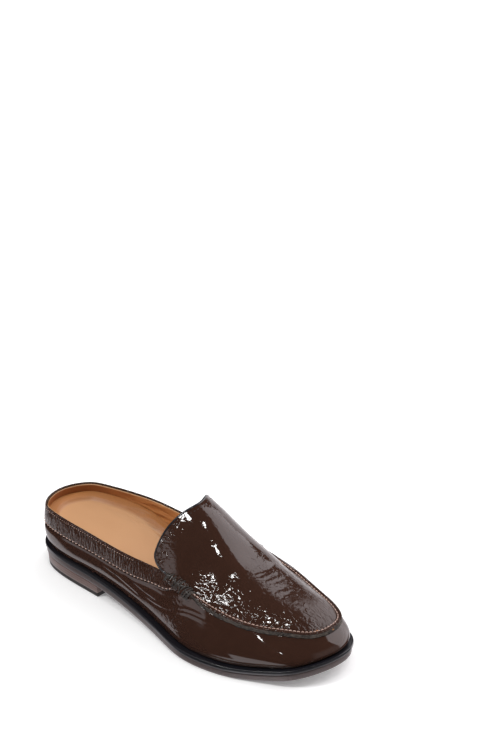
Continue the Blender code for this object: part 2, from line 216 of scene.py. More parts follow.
def stations():
    """Steps from the heel's back, 0, to the tip of the toe, 1."""
    corner = (CORNER_ALONG - TOPLINE_BACK) / (TOPLINE_TIP - TOPLINE_BACK)
    rear = corner * (1 - np.cos(np.arange(REAR_STEPS) / REAR_STEPS * np.pi / 2))
    front = corner + (1 - corner) * np.sin(np.arange(FRONT_STEPS + 1) / FRONT_STEPS * np.pi / 2)
    return np.concatenate([rear, front])


def halves(curve):
    """A closed curve from its rearmost point, as its outer and its arch side."""
    low, high = curve[:, 0].argmin(), curve[:, 0].argmax()
    turned = np.roll(curve, -low, axis=0)
    turn = (high - low) % len(curve)
    return turned[:turn + 1], np.vstack([turned[turn:], turned[:1]])[::-1]


def cut(curve, x):
    """The ring of a closed curve at the given places along X, out and back."""
    outer, inner = halves(curve)
    there = np.stack([x, np.interp(x, outer[:, 0], outer[:, 1])], axis=1)
    back = np.stack([x, np.interp(x, inner[:, 0], inner[:, 1])], axis=1)
    return there, back


def ring_of(curve):
    """Sample a closed curve at the stations."""
    low, high = curve[:, 0].min(), curve[:, 0].max()
    there, back = cut(curve, low + stations() * (high - low))
    return np.vstack([there, back[-2:0:-1]])


SOLE_RAW = plan_curve(OUTLINE, 0.0, 1.0, OUTLINE_TIP)
SOLE_MIDDLE = (SOLE_RAW.max(axis=0) + SOLE_RAW.min(axis=0)) / 2.0
SOLE_CURVE = (SOLE_RAW - SOLE_MIDDLE) * (LENGTH / np.ptp(SOLE_RAW[:, 0]), 1.0)


def inset_ring(inset):
    """The sole's outline drawn in by a distance, which may differ along the shoe."""
    depth = inset(SOLE_CURVE[:, 0] / LENGTH + 0.5) if callable(inset) else inset
    return ring_of(SOLE_CURVE - outward(SOLE_CURVE) * np.reshape(depth, (-1, 1)))


print("points in a ring:", len(inset_ring(0.0)))

# %% [markdown]
# ## Heights of the sole
# The underside rests on the heel and on the ball of the foot. Between them the arch lifts, and
# the toe springs up so that the shoe rolls. Welt, insole and upper all take their height from
# this one curve.


# %% Sole, welt and the upper's two edges
def sole_bottom(x):
    """Height of the outsole's underside."""
    along = np.asarray(x) / LENGTH + 0.5
    arch = HEEL_HEIGHT * (1.0 - smooth(along, *HEEL_SLOPE))
    return arch + TOE_SPRING * np.clip((along - SPRING_START) / (1.0 - SPRING_START), 0, 1.2) ** 2


def welt_top(x):
    """Height of the welt's upper face, on which the upper stands."""
    return sole_bottom(x) + OUTSOLE_THICK + GAP + WELT_THICK


def foot_inset(along):
    """How far the upper's foot stands in from the welt's edge."""
    return HEEL_INSET + (FOOT_INSET - HEEL_INSET) * smooth(along, *INSET_CHANGE)


def top_ring():
    """Top edge of the side wall: collar behind, apron seam in front."""
    ring = ring_of(plan_curve(TOPLINE, TOPLINE_BACK, TOPLINE_TIP, TOPLINE_TIP_SIDE) - SOLE_MIDDLE)
    rows = [(TOPLINE_BACK, COLLAR_RISE)] + [(row[0], row[3]) for row in TOPLINE]
    rows.append((TOPLINE_TIP, TOE_RISE))
    rise = table_value(rows, 1, ring[:, 0] / LENGTH + 0.5)
    return np.column_stack([ring, welt_top(ring[:, 0]) + rise])


foot_plan = inset_ring(foot_inset)
FOOT = np.column_stack([foot_plan, welt_top(foot_plan[:, 0]) + GAP])
TOP = top_ring()
AWAY = outward(FOOT)
ALONG = FOOT[:, 0] / LENGTH + 0.5
OUTER_SIDE = np.arange(RING) <= HALF
bulge = np.where(OUTER_SIDE, table_value(BULGE, 1, ALONG), table_value(BULGE, 2, ALONG))
SWELL = WALL_BULGE * bulge
print("collar height, mm:", round(1000 * TOP[0, 2], 1))

# %% [markdown]
# ## The side wall as a surface
# A wall point has two numbers: its station round the shoe and its share of the way from the foot
# to the top edge. Leather is laid on this surface by moving points along its normal, which is
# how a thickness, a seam that pulls in, or a crease is given later.


# %% Wall surface and its normals
FINE_LEVELS = np.linspace(0.0, 1.0, 65)


def wall_grid(levels):
    """Points of the wall; levels holds shares of the height, one row per ring of points."""
    v = np.broadcast_to(np.asarray(levels, float).reshape(len(levels), -1), (len(levels), RING))
    v = v[..., None]
    grid = FOOT * (1 - v) + TOP * v
    grid[..., :2] += AWAY * SWELL[:, None] * np.sin(np.pi * np.clip(v, 0, 1) ** SWELL_POWER)
    return grid


def grid_normals(grid, closed):
    """Unit normals of a grid whose columns run round the shoe."""
    if closed:
        across = np.roll(grid, -1, axis=1) - np.roll(grid, 1, axis=1)
    else:
        across = np.gradient(grid, axis=1)
    normal = np.cross(across, np.gradient(grid, axis=0))
    return normal / np.maximum(np.linalg.norm(normal, axis=2), 1e-12)[..., None]


def wall_at(levels, offset):
    """Wall points moved out along the surface by an offset in metres."""
    normals = grid_normals(wall_grid(FINE_LEVELS), closed=True)
    steps = len(FINE_LEVELS) - 1
    levels = np.broadcast_to(np.asarray(levels, float).reshape(len(levels), -1),
                             (len(levels), RING))
    place = np.clip(levels, 0, 1) * steps
    low = np.minimum(place.astype(int), steps - 1)
    column = np.arange(RING)
    share = (place - low)[..., None]
    normal = normals[low, column] * (1 - share) + normals[low + 1, column] * share
    return wall_grid(levels) + normal * np.broadcast_to(offset, levels.shape)[..., None]


WALL_HEIGHT = np.linalg.norm(TOP - FOOT, axis=1)
lowest, highest = 1000 * WALL_HEIGHT.min(), 1000 * WALL_HEIGHT.max()
print("wall height, mm:", round(lowest, 1), "to", round(highest, 1))

# %% [markdown]
# ## The apron as a surface
# The apron is the tongue-shaped top of the shoe. Each row runs across it between two facing
# points of the seam, and the crown lifts the row in between. At the throat the rows sweep back
# towards the heel, which gives the rounded opening.

# %% Apron surface
APRON_COLUMNS = 150
EDGE_CROWDING = 0.35


def throat_sweep(side):
    """How far the throat edge lies behind its corners, for places from -1 to 1 across it."""
    side = np.abs(side)
    middle = THROAT_MIDDLE + (1 - THROAT_MIDDLE) * smooth(side, 0, THROAT_EAR)
    ear = np.sqrt(np.clip(1 - ((side - THROAT_EAR) / (1 - THROAT_EAR)) ** 2, 0, 1))
    return THROAT_SWEEP * np.where(side < THROAT_EAR, middle, ear)


def apron_grid():
    """Rows across the apron, from the throat to the toe, seam points included."""
    left = TOP[REAR_STEPS:HALF][:, None]
    right = TOP[RING - np.arange(REAR_STEPS, HALF)][:, None]
    even = np.linspace(-1.0, 1.0, APRON_COLUMNS + 1)
    side = (1 - EDGE_CROWDING) * even + EDGE_CROWDING * np.sin(even * np.pi / 2)
    grid = left * (1 - side[:, None]) / 2 + right * (1 + side[:, None]) / 2
    middle = (left + right)[:, 0, 0] / 2
    rise = CROWN_RISE * table_value(CROWN, 1, middle / LENGTH + 0.5)
    fade = np.exp(-((middle - middle[0]) / THROAT_FADE) ** 2)
    leant = side - CROWN_LEAN * (1 - side * side)
    grid[..., 0] -= throat_sweep(side) * fade[:, None]
    grid[..., 2] += rise[:, None] * (1 - np.abs(leant) ** CROWN_ROUNDNESS)
    return grid, side


APRON, SIDE = apron_grid()
print("apron rows and columns:", APRON.shape[:2])
print("throat height, mm:", round(1000 * APRON[0, :, 2].max(), 1))

# %% [markdown]
# ## One way to write a finish
# A procedural finish is a small sum: a bit of noise times a depth, plus a few lines. Written with
# nodes by hand it takes a page. A small class wraps a node's output, so that Python's own signs
# add the Math nodes, and one function adds any other node.


# %% Node trees from expressions
class Wire:
    """One output of a node; arithmetic on it adds Math nodes to its tree."""

    def __init__(self, tree, socket):
        self.tree, self.socket = tree, socket

    def math(self, operation, *values):
        return add(self.tree, "ShaderNodeMath", {"operation": operation}, values)

    def __add__(self, other):
        return self.math("ADD", self, other)

    def __mul__(self, other):
        return self.math("MULTIPLY", self, other)

    def __sub__(self, other):
        return self.math("SUBTRACT", self, other)

    def __rsub__(self, other):
        return self.math("SUBTRACT", other, self)

    def ease(self, low, high):
        """0 below low, 1 above high and a soft step between."""
        settings = {"interpolation_type": "SMOOTHSTEP"}
        return add(self.tree, "ShaderNodeMapRange", settings, {"Value": self, 1: low, 2: high})


def add(tree, kind, settings=(), values=(), output=0):
    """Add a node: settings first, then a value or a link for each socket."""
    node = tree.nodes.new(kind)
    for name, value in dict(settings).items():
        setattr(node, name, value)
    pairs = values.items() if isinstance(values, dict) else enumerate(values)
    for name, value in pairs:
        if isinstance(value, Wire):
            tree.links.new(value.socket, node.inputs[name])
        else:
            node.inputs[name].default_value = value
    return Wire(tree, node.outputs[output])


def blend_colors(factor, first, second):
    """Mix two colours; a Math node would turn them grey."""
    settings = {"data_type": "RGBA", "clamp_factor": True}
    values = {"Factor": factor, 6: first, 7: second}
    return add(factor.tree, "ShaderNodeMix", settings, values, output=2)


def color(red, green, blue):
    """A matched 0-255 colour as the linear one that a shader needs."""
    linear = [((c / 255 + 0.055) / 1.055) ** 2.4 for c in (red, green, blue)]
    return (*linear, 1.0)


def finish(name, constants, paint):
    """A material: constants go on the shader's own sockets, paint gives the varying ones."""
    made = bpy.data.materials.new(name)
    made.use_nodes = True
    tree = made.node_tree
    shader = tree.nodes["Principled BSDF"]
    for socket, value in constants.items():
        shader.inputs[socket].default_value = value
    place = add(tree, "ShaderNodeTexCoord", output="Object")
    for socket, value in paint(tree, place).items():
        if isinstance(value, Wire):
            tree.links.new(value.socket, shader.inputs[socket])
        else:
            shader.inputs[socket].default_value = value
    return made


def stretched(place, along, across, up):
    """The place scaled by a number of pattern cells per metre on each axis."""
    values = {0: place, 1: (along, across, up)}
    return add(place.tree, "ShaderNodeVectorMath", {"operation": "MULTIPLY"}, values)


def noise(place, detail=2.0, rough=0.5):
    values = {"Vector": place, "Scale": 1.0, "Detail": detail, "Roughness": rough}
    return add(place.tree, "ShaderNodeTexNoise", {}, values, output="Fac")


def relief(height, depth, under=None):
    """A bump of a height from 0 to 1 that stands for a depth in metres."""
    values = {"Height": height, "Distance": depth, "Strength": 1.0}
    if under:
        values["Normal"] = under
    return add(height.tree, "ShaderNodeBump", {}, values)


def attribute(tree, name):
    """A number that the mesh carries from point to point."""
    return add(tree, "ShaderNodeAttribute", {"attribute_name": name}, output="Fac")


print("node helpers ready")

# %% [markdown]
# ## Crinkled patent leather
# Patent leather has a film of lacquer as smooth as glass. Where the last bends it, the film
# crinkles into small pads that lean different ways, and each pad throws back its own spark of a
# lamp. Voronoi cells give the pads, warped by noise so that no two are alike. The mesh says where:
# its crinkle is near 0 on the tight vamp and near 1 along the apron's edge, crackle is the fine
# upright grain of the collar band, pebble a grain finer still, and haze a duller film.


# %% Patent leather
PAD_CELLS = (210, 340, 340)  # pads per metre along, across and up
PAD_DEPTH = 0.0013
PAD_RISE = 0.10
PAD_BORDER = 0.22
SWELL_DEPTH = 0.00006
PEBBLE_DEPTH = 0.00022
CRACKLE_DEPTH = 0.00055
GLOSS = 0.045
HAZE_ROUGHNESS = 0.22


def warped(place, cells, amount):
    """The place scaled to cells per metre and pushed about by noise."""
    tree = place.tree
    scaled = stretched(place, *cells)
    push = add(tree, "ShaderNodeTexNoise", {}, {"Vector": scaled, "Scale": 0.6, "Detail": 2.0},
               output="Color")
    push = add(tree, "ShaderNodeVectorMath", {"operation": "SUBTRACT"}, {0: push, 1: (0.5,) * 3})
    settings = {"operation": "MULTIPLY_ADD"}
    return add(tree, "ShaderNodeVectorMath", settings, {0: push, 1: (amount,) * 3, 2: scaled})


def pads(place, cells, amount):
    """Pads with creases between, each leaning its own way: 0 in the creases."""
    tree = place.tree
    spot = warped(place, cells, amount)
    values = {"Vector": spot, "Scale": 1.0}
    border = add(tree, "ShaderNodeTexVoronoi", {"feature": "DISTANCE_TO_EDGE"}, values,
                 output="Distance")
    chance = add(tree, "ShaderNodeTexVoronoi", {}, values, output="Color")
    middle = add(tree, "ShaderNodeTexVoronoi", {}, values, output="Position")
    lean = add(tree, "ShaderNodeVectorMath", {"operation": "SUBTRACT"}, {0: chance, 1: (0.5,) * 3})
    away = add(tree, "ShaderNodeVectorMath", {"operation": "SUBTRACT"}, {0: spot, 1: middle})
    tilt = add(tree, "ShaderNodeVectorMath", {"operation": "DOT_PRODUCT"}, {0: lean, 1: away},
               output="Value")
    return border.ease(0.0, PAD_BORDER) * (tilt + PAD_RISE)


def patent(tree, place):
    crinkle = attribute(tree, "crinkle")
    crackle = attribute(tree, "crackle")
    haze = attribute(tree, "haze")
    pebble = attribute(tree, "pebble")
    upright = noise(stretched(place, 800, 800, 130), 2.0)
    swell = noise(stretched(place, 70, 70, 70), 1.0)
    fine = noise(stretched(place, 900, 900, 900), 2.0)
    bump = relief(swell, SWELL_DEPTH)
    bump = relief(pads(place, PAD_CELLS, 1.0) * crinkle, PAD_DEPTH, bump)
    bump = relief(fine * pebble, PEBBLE_DEPTH, bump)
    bump = relief(upright * crackle, CRACKLE_DEPTH, bump)
    mottle = noise(stretched(place, 45, 45, 45), 3.0)
    return {
        "Base Color": blend_colors(mottle, color(48, 30, 23), color(56, 36, 28)),
        "Roughness": haze * HAZE_ROUGHNESS + GLOSS,
        "Normal": bump,
    }


PATENT = finish("crinkled_patent", {"IOR": 1.5, "Specular IOR Level": 0.5}, patent)
print("finish:", PATENT.name)

# %% [markdown]
# ## Plain leathers, cut edges and thread
# The other finishes share one pattern: a base colour with a slow drift, a grain that only the
# bump shows, and a roughness that follows it. The lining is light at its cut edge and darker
# towards the heel, which is painted shade. Soft folds run through lining and footbed on the arch
# side, and their darker tint on the footbed is painted shade. The sole's edge has fine lines along
# it that the trimming cutter leaves.


# %% Leathers, edges and thread
LINING_FOLD = 0.0035
FOOTBED_FOLD = 0.0030


def grained(dark, light, grain, depth, rough, spread):
    """A leather: two colours, grain cells per metre, grain depth, roughness and its spread."""
    def paint(tree, place):
        drift = noise(stretched(place, 60, 60, 60), 3.0)
        cells = noise(stretched(place, grain, grain, grain), 4.0, 0.6)
        return {
            "Base Color": blend_colors(drift, color(*dark), color(*light)),
            "Roughness": cells * spread + rough,
            "Normal": relief(cells, depth),
        }
    return paint


def folds(place):
    """Long soft folds along the arch side, where the foot slides in: 0 to 1."""
    along = add(place.tree, "ShaderNodeSeparateXYZ", (), {0: place}, output="X")
    across = add(place.tree, "ShaderNodeSeparateXYZ", (), {0: place}, output="Y")
    where = along.ease(-0.105, -0.07) * across.ease(0.010, 0.022)
    return noise(stretched(place, 34, 210, 210), 2.0, 0.45) * where


def lining(tree, place):
    edge = attribute(tree, "cut_edge")
    drift = noise(stretched(place, 60, 60, 60), 3.0)
    cells = noise(stretched(place, 1500, 1500, 1500), 3.0)
    along = add(tree, "ShaderNodeSeparateXYZ", (), {0: place}, output="X")
    # The lining darkens towards the heel: painted shade of the heel's walls, ramped along X.
    drift = drift * 0.4 + along.ease(-0.125, -0.06) * 0.7
    skin = blend_colors(drift, color(136, 76, 38), color(186, 124, 70))
    return {
        "Base Color": blend_colors(edge, skin, color(222, 178, 134)),
        "Roughness": cells * 0.1 + 0.42,
        "Normal": relief(cells, 0.00006, relief(folds(place), LINING_FOLD)),
    }


def footbed(tree, place):
    # The sloping border by the lining and the footbed's sides take a deeper, darker tan.
    border_tone = attribute(tree, "border")
    drift = noise(stretched(place, 28, 40, 40), 2.0)
    cells = noise(stretched(place, 1700, 1700, 1700), 3.0)
    skin = blend_colors(drift, color(179, 134, 95), color(189, 145, 106))
    # The folds' darker tint on the footbed is painted shade in the folds.
    skin = blend_colors(folds(place).ease(0.44, 0.66) * 0.55, skin, color(128, 82, 48))
    return {
        "Base Color": blend_colors(border_tone, skin, color(160, 106, 60)),
        "Roughness": cells * 0.08 + 0.40,
        "Normal": relief(cells, 0.00004, relief(folds(place), FOOTBED_FOLD)),
    }


def trimmed(dark, light, lines, depth, rough):
    """A trimmed and waxed edge, with fine lines along it."""
    def paint(tree, place):
        streak = noise(stretched(place, 30, 30, lines), 3.0, 0.6)
        speck = noise(stretched(place, 700, 700, 700), 2.0)
        shade = streak * 0.7 + speck * 0.3
        return {
            "Base Color": blend_colors(shade.ease(0.3, 0.7), color(*dark), color(*light)),
            "Roughness": speck * 0.15 + rough,
            "Normal": relief(streak, depth),
        }
    return paint


def raw(tree, place):
    fibre = noise(stretched(place, 600, 600, 1500), 3.0, 0.6)
    patch = noise(stretched(place, 120, 120, 120), 2.0)
    mix = (fibre * 0.7 + patch * 0.3).ease(0.36, 0.64)
    cut = blend_colors(mix, color(30, 25, 23), color(86, 77, 69))
    return {
        # The rows marked join are painted near black: a painted shadow line under the cut edges.
        "Base Color": blend_colors(attribute(tree, "join"), cut, color(16, 12, 11)),
        "Roughness": fibre * 0.2 + 0.6,
        "Normal": relief(fibre, 0.00025),
    }


LINING = finish("lining_leather", {"Specular IOR Level": 0.4}, lining)
FOOTBED_LEATHER = finish("footbed_leather", {"Specular IOR Level": 0.4}, footbed)
WELT_LEATHER = finish("welt_leather", {"Coat Weight": 0.5, "Coat Roughness": 0.12},
                      grained((16, 16, 21), (26, 26, 32), 900, 0.00004, 0.30, 0.12))
SOLE_LEATHER = finish("sole_leather", {"Coat Weight": 0.3, "Coat Roughness": 0.22},
                      trimmed((58, 47, 46), (84, 70, 68), 1500, 0.00008, 0.36))
HEEL_LEATHER = finish("heel_leather", {"Coat Weight": 0.3, "Coat Roughness": 0.22},
                      trimmed((98, 75, 69), (114, 91, 85), 500, 0.00003, 0.38))
HEEL_RUBBER = finish("heel_rubber", {},
                     grained((46, 42, 42), (62, 57, 56), 1200, 0.00006, 0.55, 0.15))
RAW_EDGE = finish("raw_edge", {}, raw)
THREAD = finish("thread", {},
                grained((168, 136, 124), (226, 196, 182), 400, 0.00008, 0.45, 0.2))
WAXED_THREAD = finish("waxed_thread", {"Coat Weight": 0.4, "Coat Roughness": 0.2},
                      grained((16, 13, 12), (74, 68, 64), 420, 0.0002, 0.30, 0.2))
print("finishes:", len(bpy.data.materials))

# %% [markdown]
# ## From rows of points to a piece
# Each layer of leather is a closed profile, such as out, over the edge and back inside, that is
# repeated at every station round the shoe. Joining the rows gives a wall with a real thickness
# and real edges. A strip that doesn't run all the way round is closed at its two ends.


# %% Pieces from grids
def grid_faces(rows, columns, wrap_rows, wrap_columns):
    """Quads of a grid of points that are numbered row by row."""
    faces = []
    for i in range(rows if wrap_rows else rows - 1):
        for j in range(columns if wrap_columns else columns - 1):
            k, l = (i + 1) % rows, (j + 1) % columns
            faces.append((i * columns + j, i * columns + l, k * columns + l, k * columns + j))
    return faces


def signed_volume(points, faces):
    """Volume inside the faces, negative where they point inwards."""
    total = 0.0
    for face in faces:
        a = points[face[0]]
        for one, two in zip(face[1:], face[2:]):
            total += np.dot(a, np.cross(points[one], points[two]))
    return total / 6.0


def make_piece(name, points, faces, material, slot, replaced=(), marks=None):
    """A closed piece at the origin that rides on the body and takes the given finish."""
    points = np.asarray(points, float).reshape(-1, 3)
    if signed_volume(points, faces) < 0:
        faces = [face[::-1] for face in faces]
    mesh = bpy.data.meshes.new(name)
    mesh.from_pydata(points.tolist(), [], faces)
    for mark, values in (marks or {}).items():
        layer = mesh.attributes.new(mark, "FLOAT", "POINT")
        layer.data.foreach_set("value", np.asarray(values, np.float32).ravel())
    mesh.materials.append(material)
    mesh.shade_smooth()
    piece = bpy.data.objects.new(name, mesh)
    bpy.context.scene.collection.objects.link(piece)
    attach(piece, "root")
    if replaced:
        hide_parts(*replaced)
    print(name, "has", sum(len(face) - 2 for face in faces), "triangles")
    return piece


def strip(profile):
    """Points and faces of a closed profile (rows) that runs along a path (columns)."""
    rows, columns = profile.shape[:2]
    faces = grid_faces(rows, columns, wrap_rows=True, wrap_columns=False)
    for column in (0, columns - 1):
        loop = [i * columns + column for i in range(rows)]
        faces.append(tuple(loop[::-1] if column else loop))
    return profile.reshape(-1, 3), faces


def round_shoe(profile):
    """Points and faces of a closed profile that runs all the way round."""
    rows, columns = profile.shape[:2]
    return profile.reshape(-1, 3), grid_faces(rows, columns, wrap_rows=True, wrap_columns=True)


print("piece helpers ready")

# %% [markdown]
# ## Creases placed one by one
# Every shoe creases where it is worked: here the quarter ripples behind the throat's corner,
# where the hand stitches gather it, and the apron folds across the ball of the foot. Each crease
# is a short path with a width and a depth. The surface sinks along it and rises softly beside it,
# which is what lets a mirror finish show it.


# %% Creases
def crease(places, path, width, depth):
    """Height change near a path: a trough with a low ridge on each side, fading at its ends."""
    path = np.array(path, float)
    knots = np.concatenate([[0.0], np.cumsum(np.linalg.norm(np.diff(path, axis=0), axis=1))])
    at = np.linspace(0.0, knots[-1], 40)
    line = spline(knots, path, at)
    flat = places.reshape(-1, 2)
    low, high = line.min(axis=0) - 5 * width, line.max(axis=0) + 5 * width
    near = np.all((flat > low) & (flat < high), axis=1)
    change = np.zeros(len(flat))
    gaps = np.linalg.norm(flat[near][:, None] - line[None], axis=2)
    closest = gaps.argmin(axis=1)
    reach = gaps[np.arange(len(closest)), closest] / width
    fade = np.sin(np.pi * np.clip(at[closest] / knots[-1], 0.02, 0.98)) ** 0.7
    change[near] = -depth * fade * (1 - 0.9 * reach ** 2) * np.exp(-reach ** 2)
    return change.reshape(places.shape[:-1])


def creases(places, table):
    """All creases of a table: a width, a depth and the path's points, all in millimetres."""
    change = np.zeros(places.shape[:-1])
    for width, depth, *path in table:
        change += crease(places, np.array(path) / 1000.0, width / 1000.0, depth / 1000.0)
    return change


# Along X and up from the welt, on the outer side
QUARTER_CREASES = (
    (1.4, 0.42, (-30, 17.5), (-12, 16.0), (6, 16.5), (24, 20.5)),
    (1.5, 0.50, (-8, 13.0), (6, 13.5), (22, 17.5), (38, 24.0)),
    (1.3, 0.30, (-36, 13.0), (-24, 11.0), (-12, 10.0)),
    (1.4, 0.42, (14, 17.5), (26, 22.0), (40, 27.0), (54, 27.5)),
    (1.2, 0.34, (30, 22.0), (42, 24.5), (56, 24.5), (66, 23.0)),
    (2.0, 0.25, (-58, 14.5), (-44, 12.6), (-30, 12.0)),
)
ARCH_SIDE_CREASES = (
    (1.5, 0.42, (-24, 16.5), (-6, 15.5), (12, 17.0), (30, 21.0)),
    (1.6, 0.46, (-12, 11.5), (6, 12.0), (24, 16.0), (42, 23.0)),
    (1.4, 0.30, (-36, 12.0), (-20, 10.0), (-2, 9.0)),
    (1.4, 0.38, (16, 17.0), (30, 22.0), (46, 26.5)),
)
print("creases on the wall:", len(QUARTER_CREASES) + len(ARCH_SIDE_CREASES))

# %% [markdown]
# ## Quarter and vamp
# The side of the shoe is one wall of patent leather that stands on the welt. At the back its top
# edge goes under the collar band, and a stitched seam pulls it in there. In front it ends under
# the apron's cut edge.

# %% Quarter and vamp
BAND_HEIGHT = 0.0142
BAND_NARROWING = 0.0028
BAND_END = 0.022
SEAM_PINCH = 0.0010
PINCH_REACH = 0.0022
PILLOW = 0.0003
CORNER_X = TOP[REAR_STEPS, 0]
PATENT_THICK = 0.0010

past_corner = TOP[:, 0] - CORNER_X
band_height = BAND_HEIGHT - BAND_NARROWING * smooth(past_corner, -0.040, -0.004)
band_height = band_height * (1 - smooth(past_corner, -0.006, BAND_END))
SEAM_LEVEL = 1.0 - band_height / WALL_HEIGHT
IN_FRONT = smooth(past_corner, 0.010, BAND_END + 0.004)


def wall_places(grid):
    """Where wall points are along X and over the welt."""
    return np.stack([grid[..., 0], grid[..., 2] - welt_top(grid[..., 0])], axis=-1)


def wall_relief(levels, grid):
    """How far the quarter and vamp stand off the last's surface."""
    below = (SEAM_LEVEL - levels) * WALL_HEIGHT
    pinch = -SEAM_PINCH * np.exp(-(np.clip(below, 0, None) / PINCH_REACH) ** 2)
    pillow = PILLOW * np.sin(np.pi * np.clip(levels / SEAM_LEVEL, 0, 1))
    places = wall_places(grid)
    outer = creases(places, QUARTER_CREASES)
    inner = creases(places, ARCH_SIDE_CREASES)
    return (pinch + pillow) * (1 - IN_FRONT) + np.where(OUTER_SIDE, outer, inner)


WALL_ROWS = 56
share = np.linspace(0.0, 1.0, WALL_ROWS)[:, None]
wall_top = np.minimum(SEAM_LEVEL + 0.0015 / WALL_HEIGHT, 1.0)
levels = np.where(share > 0, share * wall_top, -0.0004 / WALL_HEIGHT)
stand = wall_relief(levels, wall_grid(levels))
outside = wall_at(levels, stand)
inside = wall_at(levels[::-8], stand[::-8] - PATENT_THICK)
crinkle = 0.01 + 0.22 * np.exp(-((past_corner - 0.012) / 0.012) ** 2)
crackle = 0.04 * (1 - IN_FRONT)
profile = np.concatenate([outside, inside])
make_piece("quarter_and_vamp", *round_shoe(profile), PATENT, "patent_leather", ["upper"], {
    "crinkle": np.broadcast_to(crinkle, profile.shape[:2]),
    "crackle": np.broadcast_to(crackle, profile.shape[:2]),
})

# %% [markdown]
# ## Collar band
# A band of the same leather, about 14 mm high, finishes the open back and runs on to the hand
# stitches at each corner of the throat. Its lower edge is turned in and stitched. Its upper edge
# wraps over the lining as a narrow dark rim.

# %% Collar band
BAND_ROWS = 22
BAND_LAP = 0.0009
reach = REAR_STEPS + int(np.searchsorted(past_corner[REAR_STEPS:HALF], BAND_END * 0.92))
band = np.arange(-reach, reach + 1) % RING
thick = BAND_LAP * (1 - smooth(past_corner, -0.002, BAND_END))


def band_profile():
    """Levels and offsets of the band's closed profile, from the seam over the rim and back."""
    t = np.linspace(0.0, 1.0, BAND_ROWS)[:, None]
    out = -0.0009 + thick * smooth(t, -0.02, 0.14) + 0.0002 * np.sin(np.pi * t)
    rows = [(SEAM_LEVEL + t * (1 - SEAM_LEVEL), out)]
    rim = ((0.25, 0.00), (0.50, -0.25), (0.62, -0.60), (0.50, -0.95), (0.10, -1.10), (-2.0, -1.10))
    for rise, offset in rim:
        level = 1 + rise / 1000 / WALL_HEIGHT
        rows.append((level[None], np.full((1, RING), offset / 1000)))
    rows.append(((SEAM_LEVEL + 0.3 / 1000 / WALL_HEIGHT)[None], np.full((1, RING), -0.0012)))
    return [np.vstack([row[part] for row in rows]) for part in (0, 1)]


band_levels, band_out = band_profile()
profile = wall_at(band_levels, band_out)[:, band]
make_piece("collar_band", *strip(profile), PATENT, "patent_leather", (), {
    "crinkle": np.full(profile.shape[:2], 0.12),
    "crackle": np.full(profile.shape[:2], 1.5),
})

# %% [markdown]
# ## Lining
# Behind the patent leather lies an orange-brown lining. Only its cut edge at the rim is pale,
# because the dye stays on the surface, so the edge gets a mark that the finish reads.

# %% Lining of the wall
LINING_THICK = 0.0009
LINING_ROWS = 30
t = np.linspace(0.0, 1.0, LINING_ROWS)[:, None]
rim_level = 1 + 0.0001 / WALL_HEIGHT
face = -PATENT_THICK - 0.0001
outer_rows = wall_at(t[::6] * rim_level, face)
inner_rows = wall_at(t[::-1] * (rim_level - 0.0003 / WALL_HEIGHT), face - LINING_THICK)
profile = np.concatenate([outer_rows, inner_rows])
from_rim = (rim_level - t[::-1] * rim_level) * WALL_HEIGHT
edge_mark = np.concatenate([
    np.repeat((t[::6] > 0.99) * 1.0, RING, axis=1),
    1 - smooth(from_rim, 0.0002, 0.0012),
])
make_piece("lining", *round_shoe(profile), LINING, "lining_leather", (), {"cut_edge": edge_mark})

# %% [markdown]
# ## Apron
# The apron is stitched flat to the turned-up edge of the vamp, so it has a level lip a few
# millimetres wide all round, and rises steeply only inside the stitches. Behind, at the corners of
# the throat, there is no lip.

# %% Apron and its lip
LIP_TOP = 0.0034
LIP_SLOPE = 0.10
STITCH_INSET = 0.0026
LIP_START = 0.018
LIP_FULL = 0.027
LIP_FLAT = 0.0024
LIP_END = 0.0062

LEFT = np.arange(REAR_STEPS, HALF)
RIGHT = RING - LEFT
seam_out = outward(TOP)
steps_across = np.linalg.norm(np.diff(APRON, axis=1), axis=2)
from_left = np.concatenate([np.zeros((len(APRON), 1)), np.cumsum(steps_across, axis=1)], axis=1)
from_right = from_left[:, -1:] - from_left
edge_gap = np.minimum(from_left, from_right)
lip_x = smooth(APRON[:, :1, 0] - CORNER_X, LIP_START, LIP_FULL)


def lip_surface(index, gap):
    """The level lip beside one side of the seam, out to a gap from it."""
    spot = TOP[index][:, None] + 0 * gap[..., None]
    inward = -seam_out[index][:, None]
    spot[..., :2] += inward * gap[..., None]
    spot[..., 2] += LIP_TOP + LIP_SLOPE * gap
    return spot


on_left = (SIDE < 0)[None, :, None]
lip = np.where(on_left, lip_surface(LEFT, from_left), lip_surface(RIGHT, from_right))
hold = (lip_x * (1 - smooth(edge_gap, LIP_FLAT, LIP_END)))[..., None]
apron = APRON * (1 - hold) + lip * hold
apron_normal = -grid_normals(apron, closed=False)
if apron_normal[20, APRON_COLUMNS // 2, 2] < 0:
    apron_normal = -apron_normal
print("lip, mm:", 1000 * LIP_FLAT, "wide and", 1000 * LIP_TOP, "over the seam")

# %% [markdown]
# ## The fold over the ball of the foot
# Where the foot bends, the apron breaks along a line across it: the surface falls quickly to the
# line and rises slowly past it, which ends the mirrored panel there. Fine creases lie beside the
# break, a groove runs under the stitches, and hand stitches gather the leather at the throat's
# corners into puckers.

